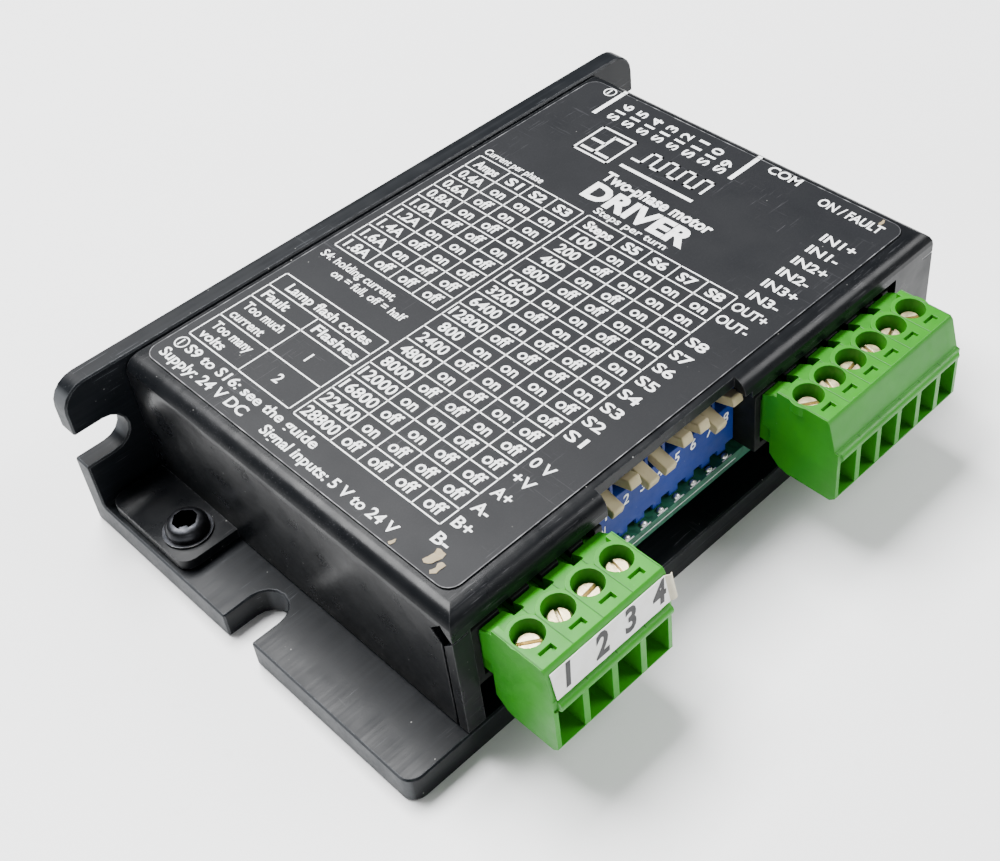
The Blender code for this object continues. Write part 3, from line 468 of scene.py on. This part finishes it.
SOLDER = cast("solder", (0.66, 0.66, 0.65), (0.42, 0.41, 0.40), 0.28, 1.0, relief=0.5)
SPACER = cast("spacer_metal", (0.60, 0.61, 0.62), (0.42, 0.42, 0.43), 0.32, 1.0)
SLEEVE = cast("capacitor_sleeve", (0.012, 0.013, 0.022), (0.025, 0.026, 0.036), 0.30)
CHIP = cast("chip_package", (0.016, 0.016, 0.017), (0.028, 0.028, 0.029), 0.55, relief=0.6)
PAD = cast("thermal_pad", (0.28, 0.30, 0.34), (0.20, 0.21, 0.25), 0.85, relief=0.8)
LAMP_ON = cast("lamp_green", (0.22, 0.60, 0.24), (0.14, 0.45, 0.16), 0.15)
LAMP_RED = cast("lamp_red", (0.58, 0.10, 0.08), (0.40, 0.06, 0.05), 0.15)


# ---------------------------------------------------------------- helpers

def keep(piece, finish, body, stands_for=()):
    """Give a piece its finish and its body, and hide the nodes it stands for."""
    if finish:
        piece.data.materials.clear()
        piece.data.materials.append(finish)
    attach(piece, body)
    if stands_for:
        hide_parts(*stands_for)
    return piece


def mesh_object(name, shape):
    """Object from a bmesh drawn in millimetres."""
    for vert in shape.verts:
        vert.co = vert.co * MM
    data = bpy.data.meshes.new(name)
    shape.to_mesh(data)
    shape.free()
    made = bpy.data.objects.new(name, data)
    bpy.context.scene.collection.objects.link(made)
    return made


def block(shape, low, high):
    """Add a block between two corners."""
    size, middle = Vector(high) - Vector(low), (Vector(high) + Vector(low)) / 2
    made = bmesh.ops.create_cube(shape, size=1.0)["verts"]
    for vert in made:
        vert.co = Vector(a * b for a, b in zip(vert.co, size)) + middle


def refined(node, finish, edge=0.0, segments=2, smooth=30.0, notches=()):
    """A finer copy of a CAD node: welded, with real rounded edges."""
    shape = bmesh.new()
    shape.from_mesh(NODES[node].data)
    bmesh.ops.remove_doubles(shape, verts=shape.verts, dist=1e-6)
    bmesh.ops.dissolve_limit(shape, angle_limit=math.radians(0.6), verts=shape.verts, edges=shape.edges)
    data = bpy.data.meshes.new(node + "_shape")
    shape.to_mesh(data)
    shape.free()
    made = bpy.data.objects.new(node + "_finished", data)
    bpy.context.scene.collection.objects.link(made)
    for low, high in notches:
        cutter_shape = bmesh.new()
        block(cutter_shape, low, high)
        cutter = mesh_object("notch", cutter_shape)
        cut = made.modifiers.new("notch", "BOOLEAN")
        cut.operation, cut.solver, cut.object = "DIFFERENCE", "EXACT", cutter
        settle(made)
        bpy.data.objects.remove(cutter, do_unlink=True)
    if edge:
        rounding = made.modifiers.new("edge", "BEVEL")
        rounding.width = edge * MM
        rounding.segments = segments
        rounding.limit_method = "ANGLE"
        rounding.angle_limit = math.radians(32)
        rounding.use_clamp_overlap = True
        settle(made)
    made.data.shade_smooth()
    made.data.set_sharp_from_angle(angle=math.radians(smooth))
    evened = made.modifiers.new("evened", "WEIGHTED_NORMAL")
    evened.keep_sharp = True
    settle(made)
    return keep(made, finish, NODES[node]["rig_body"], (node,))


def settle(made):
    """Apply an object's modifiers."""
    view = bpy.context.evaluated_depsgraph_get()
    data = bpy.data.meshes.new_from_object(made.evaluated_get(view))
    made.modifiers.clear()
    made.data = data


def letters(text, height, width=0.0, weight=0.016, slant=0.0):
    """Flat outline of some text as a bmesh: the baseline starts at the origin, capitals are height tall."""
    curve = bpy.data.curves.new("text", "FONT")
    curve.body = text
    curve.size = height / 0.70
    curve.offset = weight * curve.size
    curve.shear = slant
    curve.resolution_u = 3
    holder = bpy.data.objects.new("text", curve)
    bpy.context.scene.collection.objects.link(holder)
    bpy.context.view_layer.update()
    view = bpy.context.evaluated_depsgraph_get()
    data = bpy.data.meshes.new_from_object(holder.evaluated_get(view))
    shape = bmesh.new()
    shape.from_mesh(data)
    bpy.data.objects.remove(holder, do_unlink=True)
    bpy.data.meshes.remove(data)
    low = min((v.co.x for v in shape.verts), default=0.0)
    high = max((v.co.x for v in shape.verts), default=0.0)
    stretch = width / (high - low) if width and high > low else 1.0
    for vert in shape.verts:
        vert.co = Vector(((vert.co.x - low) * stretch, vert.co.y, 0.0))
    return shape


def stamp(target, shape, place):
    """Copy a flat outline into another bmesh through a placing function."""
    copies = {}
    for vert in shape.verts:
        copies[vert] = target.verts.new(place(vert.co.x, vert.co.y))
    for face in shape.faces:
        target.faces.new([copies[vert] for vert in face.verts])
    shape.free()


def rectangle(target, low, high, z):
    """Add a flat rectangle between two corners."""
    corners = ((low[0], low[1]), (high[0], low[1]), (high[0], high[1]), (low[0], high[1]))
    target.faces.new([target.verts.new((x, y, z)) for x, y in corners])


def face_up(target):
    """Turn every flat face to face +Z."""
    for face in target.faces:
        face.normal_update()
        if face.normal.z < 0:
            face.normal_flip()


# ---------------------------------------------------------------- metalwork

refined("heat_sink", ANODISE, smooth=25.0)
refined("cover", ENAMEL, smooth=28.0)
refined("label", FILM)
for side in ("near", "far"):
    refined("cover_screw_" + side, OXIDE, edge=0.10)
    low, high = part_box("cover_screw_" + side)
    shape = bmesh.new()
    ring, inner = (
        bmesh.ops.create_circle(shape, cap_ends=False, segments=WASHER_SIDES, radius=reach)["verts"]
        for reach in (WASHER_OUTER, WASHER_INNER))
    washer_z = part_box("cover")[0].z / MM + WASHER_TOP
    for index in range(WASHER_SIDES):
        after = (index + 1) % WASHER_SIDES
        shape.faces.new((ring[index], ring[after], inner[after], inner[index]))
    for vert in shape.verts:
        vert.co += Vector(((low.x + high.x) / 2 / MM, (low.y + high.y) / 2 / MM, washer_z))
    bmesh.ops.recalc_face_normals(shape, faces=shape.faces)
    washer = mesh_object("lock_washer_" + side, shape)
    thick = washer.modifiers.new("thick", "SOLIDIFY")
    thick.thickness, thick.offset = WASHER_THICK * MM, -1.0
    settle(washer)
    keep(washer, OXIDE, "drive")


# ---------------------------------------------------------------- label print

LABEL_LOW, LABEL_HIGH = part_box("label")
INK_Z = LABEL_HIGH.z / MM + INK_LIFT
print_shape = bmesh.new()


def on_label(x, y):
    """Placing function for print that runs towards -Y, its baseline starting at (x, y)."""
    return lambda along, up: (x + up, y - along, INK_Z)


def up_label(x, y):
    """Placing function for print that runs towards +X."""
    return lambda along, up: (x + along, y + up, INK_Z)


def write(text, x, y, width, height=INK_HEIGHT, weight=0.02):
    """Print some text towards -Y, this wide and tall."""
    stamp(print_shape, letters(text, height, width, weight), on_label(x, y))


def rule(x0, y0, x1, y1, width=RULE):
    """A printed line, given by its two ends along X or Y."""
    half = width / 2
    low_x, high_x = min(x0, x1) - half, max(x0, x1) + half
    low_y, high_y = min(y0, y1) - half, max(y0, y1) + half
    rectangle(print_shape, (low_x, low_y), (high_x, high_y), INK_Z)


def grid(columns, lines):
    """Ruled table."""
    for y in columns:
        rule(lines[0], y, lines[-1], y)
    for x in lines:
        rule(x, columns[0], x, columns[-1])


def centred(text, x, left, right, width, height=INK_HEIGHT, weight=0.02):
    """Print some text midway between two columns."""
    write(text, x, (left + right) / 2 + width / 2, width, height, weight)


def setting_table(columns, rows, heads, first_column, positions):
    """Table of switch settings: a value, then the positions of the switches."""
    lines = [TABLE_TOP, TABLE_HEAD] + [TABLE_HEAD - ROW_PITCH * (row + 1) for row in range(rows)]
    grid(columns, lines)
    for index, head in enumerate(heads):
        width = (columns[index] - columns[index + 1]) * (0.70 if index == 0 else 0.56)
        centred(head, TABLE_HEAD + 0.62, columns[index], columns[index + 1], width, 1.35, 0.03)
    for row in range(rows):
        base = TABLE_HEAD - ROW_PITCH * (row + 1) + 0.55
        value = first_column[row]
        width = 0.30 + 0.97 * len(value) - (0.35 if "." in value else 0.0)
        centred(value, base, columns[0], columns[1], width, 1.42)
        for index in range(1, len(columns) - 1):
            is_off = positions(row, index - 1)
            word, width = ("off", 2.35) if is_off else ("on", 2.1)
            centred(word, base, columns[index], columns[index + 1], width, 1.5)


setting_table(CURRENT_COLUMNS, CURRENT_ROWS, ("Amps", "S1", "S2", "S3"),
              ["%.1fA" % (0.4 + 0.2 * row) for row in range(CURRENT_ROWS)],
              lambda row, index: row >> index & 1)
setting_table(STEP_COLUMNS, STEP_ROWS, ("Steps", "S5", "S6", "S7", "S8"),
              [str(100 << row) if row < 8 else str(400 * (row - 7) * (row - 6)) for row in range(STEP_ROWS)],
              lambda row, index: row >> index & 1)
grid((CODE_COLUMNS[0], CODE_COLUMNS[-1]), CODE_LINES)
rule(CODE_LINES[1], CODE_COLUMNS[1], CODE_LINES[-1], CODE_COLUMNS[1])
write("Current per phase", 14.75, 22.6, 9.8, 1.05, 0.014)
write("Steps per turn", 14.85, 4.3, 10.9, 1.05, 0.014)
write("S4: holding current,", -10.6, 22.4, 12.6, 1.15, 0.014)
write("on = full, off = half", -12.2, 18.6, 12.1, 1.1, 0.014)
write("Lamp flash codes", CODE_LINES[1] + 0.6, 20.4, 14.0)
write("Fault", CODE_LINES[2] + 0.65, 21.6, 4.2)
write("Flashes", CODE_LINES[2] + 0.65, 12.8, 7.2)
write("Too much", CODE_LINES[3] + 2.3, 21.6, 6.6, 1.2)
write("current", CODE_LINES[3] + 0.5, 21.6, 5.4, 1.2)
write("Too many", CODE_LINES[4] + 2.2, 21.6, 6.6, 1.2)
write("volts", CODE_LINES[4] + 0.5, 21.6, 4.0, 1.2)
write("1", CODE_LINES[3] + 1.4, 9.6, 0.0)
write("2", CODE_LINES[4] + 1.4, 9.8, 0.0)
write("S9 to S16: see the guide", -30.25, 20.6, 22.0, 1.25)
write("Supply: 24 V DC", -32.25, 22.4, 14.6, 1.3)
write("Signal inputs: 5 V to 24 V", -32.25, 4.8, 20.4, 1.25)
for index, name in enumerate(("IN1+", "IN1-", "IN2+", "IN2-", "IN3+", "IN3-", "OUT+", "OUT-")):
    write(name, 27.4 - index * 2.54, SIDE_NAMES_Y, 4.5 if name.endswith("+") else 4.1, 1.35)
for index in range(8):
    write("S%d" % (8 - index), 4.9 - index * 2.54, SIDE_NAMES_Y - 0.1, 2.5, 1.35)
POWER_NAMES = (("0 V", 2.8), ("+V", 2.6), ("A+", 2.3), ("A-", 2.0), ("B+", 2.3), ("B-", 2.0))
for index, (name, width) in enumerate(POWER_NAMES):
    write(name, -17.7 - index * 2.50, SIDE_NAMES_Y - 0.2, width, 1.35)
for index in range(8):
    digits = "S%d" % (16 - index)
    start = 29.75
    shape = letters(digits, 1.45, 3.9 if index < 7 else 2.7, 0.02)
    stamp(print_shape, shape, up_label(start, 15.05 - index * 2.46))
rule(29.75, 18.3, 35.2, 18.3, 0.62)
rule(30.0, -3.6, 35.2, -3.6, 0.62)
write("COM", 33.6, -5.85, 4.6, 1.4)
write("ON / FAULT", 32.35, -14.2, 8.7, 1.4)
write("Two-phase motor", 20.1, 8.1, 16.6, 1.75, 0.03)
write("DRIVER", 16.4, 7.8, 15.8, 2.95, 0.045)


def ring_mark(x, y, radius, width):
    """A printed ring."""
    steps = 36
    inner, outer = (
        [print_shape.verts.new((x + reach * math.cos(a), y + reach * math.sin(a), INK_Z))
         for a in (2 * math.pi * i / steps for i in range(steps))]
        for reach in (radius - width, radius))
    for i in range(steps):
        j = (i + 1) % steps
        print_shape.faces.new((inner[i], outer[i], outer[j], inner[j]))


for spot_x, spot_y in ((34.15, 19.9), (-29.65, 21.8)):
    ring_mark(spot_x, spot_y, 0.86, 0.17)
    stamp(print_shape, letters("1", 1.0, 0.0, 0.02), on_label(spot_x - 0.5, spot_y + 0.2))


def pulse_train(x, y, steps, pitch, height, width):
    """A plain square-wave line, the sign for step pulses."""
    for index in range(steps):
        start = y - index * pitch
        top = x + height
        rule(x, start, x, start - pitch / 2, width)
        rule(x, start - pitch / 2, top, start - pitch / 2, width)
        rule(top, start - pitch / 2, top, start - pitch, width)
        rule(top, start - pitch, x, start - pitch, width)


pulse_train(25.4, 7.9, 4, 2.7, 2.4, 0.34)
rule(23.6, 7.9, 23.6, -2.9, 0.5)
for edge in (-2.7, 2.7):
    rule(25.4 + edge, 15.1, 25.4 + edge, 9.7, 0.3)
    rule(22.7, 12.4 + edge, 28.1, 12.4 + edge, 0.3)
bmesh.ops.recalc_face_normals(print_shape, faces=print_shape.faces)
face_up(print_shape)
keep(mesh_object("label_print", print_shape), INK, "drive")

motor_sign = bmesh.new()
for low, high in (((23.3, 14.6), (23.75, 10.2)), ((23.3, 12.6), (27.4, 12.2)), ((25.2, 14.6), (25.65, 12.4)),
                  ((26.95, 12.4), (27.4, 10.2))):
    rectangle(motor_sign, low, high, INK_Z + SIGN_LIFT)
face_up(motor_sign)
keep(mesh_object("label_sign", motor_sign), INK, "drive")


def border_line():
    """Thin pale cut edge round the label, with its rounded corners."""
    shape = bmesh.new()
    radius, steps = BORDER_RADIUS, 8
    low_x, high_x = LABEL_LOW.x / MM + BORDER_INSET, LABEL_HIGH.x / MM - BORDER_INSET
    low_y, high_y = LABEL_LOW.y / MM + BORDER_INSET, LABEL_HIGH.y / MM - BORDER_INSET
    centres = ((low_x + radius, low_y + radius, 180), (high_x - radius, low_y + radius, 270),
               (high_x - radius, high_y - radius, 0), (low_x + radius, high_y - radius, 90))
    path = []
    for x, y, start in centres:
        for index in range(steps + 1):
            angle = math.radians(start + 90 * index / steps)
            path.append((x, y, math.cos(angle), math.sin(angle)))
    outer, inner = (
        [shape.verts.new((x + reach * c, y + reach * s, INK_Z)) for x, y, c, s in path]
        for reach in (radius, radius - BORDER_WIDTH))
    for index in range(len(path)):
        after = (index + 1) % len(path)
        shape.faces.new((inner[index], outer[index], outer[after], inner[after]))
    keep(mesh_object("label_border", shape), EDGE_LINE, "drive")


def edge_line_paint():
    """Cut edge of the film: grey, bright only in places."""
    paint = Paint("label_cut_edge", (0.030, 0.031, 0.035), 0.5)
    paint.tint(paint.span(paint.noise(0.6, 6.0, shift=2.0), 0.45, 0.68), (0.24, 0.24, 0.25), 0.9)
    paint.bump(paint.noise(4.0, 3.0), 0.3, 0.02)
    return paint.done()


EDGE_LINE = edge_line_paint()
border_line()


def torn_patch(name, x, y, reach, points, lift, seed):
    """A torn flake of film with a ragged outline, curled up a little."""
    picker = random.Random(seed)
    shape = bmesh.new()
    centre = shape.verts.new((x, y, INK_Z + lift * 0.6))
    ring = []
    for index in range(points):
        angle = 2 * math.pi * index / points
        out = reach * picker.uniform(0.35, 1.0)
        ring.append(shape.verts.new((x + out * math.cos(angle), y + out * math.sin(angle) * 0.6,
                                     INK_Z + picker.uniform(0.2, 1.0) * lift)))
    for index in range(points):
        shape.faces.new((centre, ring[index], ring[(index + 1) % points]))
    bmesh.ops.subdivide_edges(shape, edges=shape.edges[:], cuts=2, use_grid_fill=True,
                              fractal=0.25, seed=seed)
    top = LABEL_HIGH.z / MM + TEAR_LIMIT
    for vert in shape.verts:
        vert.co.z = min(max(vert.co.z, INK_Z - 0.01), top)
    keep(mesh_object(name, shape), TORN, "drive")


torn_patch("label_tear_corner", -31.1, -20.6, 1.5, 13, 0.09, 3)
torn_patch("label_tear_tail", -32.0, -21.9, 1.0, 11, 0.08, 5)
torn_patch("label_tear_edge", -32.6, -16.4, 0.7, 9, 0.07, 8)
torn_patch("label_tear_far", 34.3, -22.0, 0.8, 9, 0.06, 12)


# ---------------------------------------------------------------- terminals

def ways(given):
    first, pitch, count = given
    return [first + pitch * index for index in range(count)]


for name, given, finish in (("4way", WAYS_4, GREEN_4), ("6way", WAYS_6, GREEN_6)):
    body = "power_plug" if name == "4way" else "signal_plug"
    refined("plug_" + name, finish, edge=0.13, smooth=35.0)
    refined("header_" + name, HEADER, edge=0.07)
    for number, x in enumerate(ways(given), start=1):
        refined("clamp_screw_%s_%d" % (name, number), TIN, edge=0.05)
        refined("wire_cage_%s_%d" % (name, number), TIN, edge=0.05)
        low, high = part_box("wire_cage_%s_%d" % (name, number))
        shape = bmesh.new()
        y = high.y / MM
        block(shape, (x - 0.55, y + 0.6, CONTACT_LOW), (x - 0.35, y + 8.6, CONTACT_HIGH))
        block(shape, (x + 0.35, y + 0.6, CONTACT_LOW), (x + 0.55, y + 8.6, CONTACT_HIGH))
        block(shape, (x - 0.55, y + 0.5, CONTACT_LOW), (x + 0.55, y + 0.7, CONTACT_HIGH))
        keep(mesh_object("spring_contact_%s_%d" % (name, number), shape), TIN, body)


def tape_point(t, along):
    """Point on the sloping face of the four-way plug: t runs down the slope from 0 to 1."""
    low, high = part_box("marker_strip")
    top = Vector((0.0, high.y / MM, high.z / MM))
    foot = Vector((0.0, low.y / MM, low.z / MM))
    point = top.lerp(foot, t)
    return Vector((along, point.y, point.z))


def marker_tape():
    """Marker tape with a loose yellowed end that has come unstuck."""
    low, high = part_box("marker_strip")
    start, end = low.x / MM, high.x / MM
    columns, rows = 48, 6
    out = Vector((0.0, -0.95, 0.30)).normalized()
    stretches = (("marker_tape", start, end, TAPE), ("marker_flap", end, end + FLAP_LENGTH, TAPE_OLD))
    for name, first, last, finish in stretches:
        shape = bmesh.new()
        points = []
        for i in range(columns + 1):
            along = first + (last - first) * i / columns
            curl = max(0.0, (along - end) / FLAP_LENGTH)
            line = []
            for j in range(rows + 1):
                t = j / rows * (1.0 - 0.10 * curl)
                wave = 0.03 * math.sin(along * 1.7 + t * 2.0) + 0.02 * math.sin(along * 4.3)
                point = tape_point(t, along) + out * (TAPE_OFF + max(0.0, wave) * 0.5)
                point += Vector((-0.45 * curl * curl, -0.30 * math.sin(curl * 2.6), -0.12 * curl))
                line.append(shape.verts.new(point))
            points.append(line)
        for i in range(columns):
            for j in range(rows):
                shape.faces.new((points[i][j], points[i + 1][j], points[i + 1][j + 1], points[i][j + 1]))
        bmesh.ops.recalc_face_normals(shape, faces=shape.faces)
        made = mesh_object(name, shape)
        thick = made.modifiers.new("thick", "SOLIDIFY")
        thick.thickness, thick.offset = TAPE_THICK * MM, 0.0
        settle(made)
        made.data.shade_smooth()
        made.data.set_sharp_from_angle(angle=math.radians(40))
        keep(made, finish, "power_plug", ("marker_strip",) if name == "marker_tape" else ())
    shape = bmesh.new()
    up = (tape_point(0.0, 0.0) - tape_point(1.0, 0.0)).normalized()
    for number, x in enumerate(ways(WAYS_4), start=1):
        base = tape_point(0.80, x - 0.35) + out * NUMBER_OFF
        glyph = letters(str(number), 2.35, 0.0, 0.035, 0.25)
        stamp(shape, glyph, lambda along, rise, base=base: tuple(base + Vector((along, 0, 0)) + up * rise))
    keep(mesh_object("marker_numbers", shape), BLACK_INK, "power_plug")


marker_tape()


# ---------------------------------------------------------------- switches, lamps and socket

low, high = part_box("front_switch_body")
dip_low, dip_high = low / MM, high / MM
foot_notches = []
middle = (dip_low.x + dip_high.x) / 2
for index in range(SWITCH_WAYS + 1):
    x = middle + (index - SWITCH_WAYS / 2) * SWITCH_PITCH
    foot_notches.append(((x - 0.62, dip_low.y - 1.0, dip_low.z - 1.0),
                         (x + 0.62, dip_low.y + 1.2, dip_low.z + 0.85)))
refined("front_switch_body", BLUE, edge=0.06, notches=foot_notches)
refined("end_switch_body", BLUE, edge=0.06)
for prefix in ("front", "end"):
    for number in range(1, 9):
        refined("%s_switch_lever_%d" % (prefix, number), CREAM, edge=0.16, segments=3)

digits = bmesh.new()
for number in range(1, 9):
    low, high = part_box("front_switch_lever_%d" % number)
    x = (low.x + high.x) / 2 / MM + 0.15
    glyph = letters(str(number), 1.35, 0.0, 0.012, 0.15)
    stamp(digits, glyph, lambda along, rise, x=x: (x + along, dip_low.y - 0.02, 12.35 + rise))
glyph = letters("ON", 1.2, 1.7, 0.012, 0.15)
stamp(digits, glyph, lambda along, rise: (dip_low.x + 0.3 + along, dip_low.y - 0.02, 10.4 + rise))
keep(mesh_object("front_switch_numbers", digits), INK, "drive")

far_digits = bmesh.new()
end_low, end_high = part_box("end_switch_body")
for number in range(1, 9):
    low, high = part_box("end_switch_lever_%d" % number)
    y = (low.y + high.y) / 2 / MM - 0.3
    glyph = letters(str(number), 1.2, 0.0, 0.012, 0.1)
    stamp(far_digits, glyph, lambda along, rise, y=y: (end_high.x / MM + 0.02, y + along, 12.9 + rise))
keep(mesh_object("end_switch_numbers", far_digits), INK, "drive")

refined("comm_socket", SOCKET, edge=0.10)
refined("power_lamp", LAMP_ON)
refined("alarm_lamp", LAMP_RED)

low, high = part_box("comm_socket")
contacts = bmesh.new()
for index in range(6):
    y = (low.y + high.y) / 2 / MM + (index - 2.5) * 0.75
    block(contacts, (high.x / MM - 8.5, y - 0.16, 15.6), (high.x / MM - 1.2, y + 0.16, 15.9))
keep(mesh_object("socket_contacts", contacts), TIN, "drive")


# ---------------------------------------------------------------- board and inner parts

NODES["circuit_board"].data.materials.clear()
NODES["circuit_board"].data.materials.append(LAMINATE)
INNER_PARTS = (
    ("board_standoff_1", SPACER, "spacer_aluminium"), ("board_standoff_2", SPACER, "spacer_aluminium"),
    ("board_standoff_3", SPACER, "spacer_aluminium"), ("output_chip", CHIP, "chip_black"),
    ("control_processor", CHIP, "chip_black"), ("thermal_pad", PAD, "pad_grey"),
    ("supply_capacitor_1", SLEEVE, "capacitor_sleeve"), ("supply_capacitor_2", SLEEVE, "capacitor_sleeve"))
for node, finish, slot in INNER_PARTS:
    refined(node, finish, edge=0.08)

board_low, board_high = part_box("circuit_board")
board_front, board_top = board_low.y / MM, board_high.z / MM
silk = bmesh.new()
blobs = bmesh.new()
for index in range(SWITCH_WAYS):
    x = middle + (index - (SWITCH_WAYS - 1) / 2) * SWITCH_PITCH
    block(silk, (x - 0.75, board_front + 0.06, board_top), (x + 0.75, board_front + 0.20, board_top + 0.03))
    made = bmesh.ops.create_uvsphere(blobs, u_segments=16, v_segments=10, radius=SOLDER_RADIUS)["verts"]
    for vert in made:
        vert.co = Vector((vert.co.x * 1.05 + x, vert.co.y * 0.75 + board_front + 0.50,
                          board_top + vert.co.z * 0.75))
for face in blobs.faces:
    face.smooth = True
block(silk, (dip_low.x + 0.4, board_front + 0.02, board_top - 0.9),
      (dip_high.x - 0.6, board_front - 0.01, board_top - 0.82))
keep(mesh_object("board_silkscreen", silk), INK, "drive")
keep(mesh_object("switch_solder", blobs), SOLDER, "drive")

for number in range(1, 4):
    low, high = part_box("board_standoff_%d" % number)
    x, y = (low.x + high.x) / 2 / MM, (low.y + high.y) / 2 / MM
    screw = bmesh.new()
    for sides, (foot, top, tall), rise in ((24, SCREW_HEAD, 0.30 + 0.65), (16, SCREW_SHANK, -2.0)):
        made = bmesh.ops.create_cone(screw, cap_ends=True, segments=sides,
                                     radius1=foot, radius2=top, depth=tall)
        for vert in made["verts"]:
            vert.co += Vector((x, y, board_top + rise))
    keep(mesh_object("board_screw_%d" % number, screw), SPACER, "drive")

pads = bmesh.new()
low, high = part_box("control_processor")
x, y = (low.x + high.x) / 2 / MM, (low.y + high.y) / 2 / MM
lead_low, lead_high = board_top + LEAD_FOOT, board_top + LEAD_TOP
for side in (-1, 1):
    near, far = side * LEAD_START, side * LEAD_END
    for index in range(LEADS_A_SIDE):
        left = (index - (LEADS_A_SIDE - 1) / 2) * LEAD_PITCH - LEAD_HALF_WIDTH
        right = left + 2 * LEAD_HALF_WIDTH
        block(pads, (x + left, y + near, lead_low), (x + right, y + far, lead_high))
        block(pads, (x + near, y + left, lead_low), (x + far, y + right, lead_high))
keep(mesh_object("processor_leads", pads), SOLDER, "drive")


# ---------------------------------------------------------------- floor, light and camera

floor_shape = bmesh.new()
bmesh.ops.create_grid(floor_shape, x_segments=1, y_segments=1, size=FLOOR_REACH)
floor = mesh_object("floor", floor_shape)
floor.location.z = -FLOOR_DROP
floor.data.materials.append(floor_paint())


def soft_light(name, place, target, size, power):
    """A rectangular soft light aimed at a point, in metres and watts."""
    data = bpy.data.lights.new(name, "AREA")
    data.shape = "RECTANGLE"
    data.size, data.size_y = size
    data.energy = power
    made = bpy.data.objects.new(name, data)
    made.location = place
    made.rotation_euler = (Vector(target) - Vector(place)).to_track_quat("-Z", "Y").to_euler()
    bpy.context.scene.collection.objects.link(made)


soft_light("key_light", (-0.02, 0.26, 0.56), (0.0, 0.0, 0.0), (0.40, 0.32), 15.0)
soft_light("fill_light", (0.40, -0.30, 0.40), (0.0, -0.02, 0.0), (0.30, 0.30), 4.0)
soft_light("front_light", (-0.30, -0.50, 0.22), (0.0, -0.02, 0.01), (0.30, 0.20), 0.8)

world = bpy.data.worlds.new("studio")
bpy.context.scene.world = world
world.use_nodes = True
backdrop = world.node_tree.nodes["Background"]
backdrop.inputs["Color"].default_value = (1.0, 1.0, 1.0, 1.0)
backdrop.inputs["Strength"].default_value = WORLD_STRENGTH

camera_data = bpy.data.cameras.new("camera")
camera_data.sensor_width = 36.0
camera_data.lens = CAMERA_LENS
camera_data.shift_x, camera_data.shift_y = CAMERA_SHIFT
camera_data.clip_start = 0.005
camera = bpy.data.objects.new("camera", camera_data)
camera.location = CAMERA_PLACE
camera.rotation_euler = CAMERA_TURN
bpy.context.scene.collection.objects.link(camera)
bpy.context.scene.camera = camera
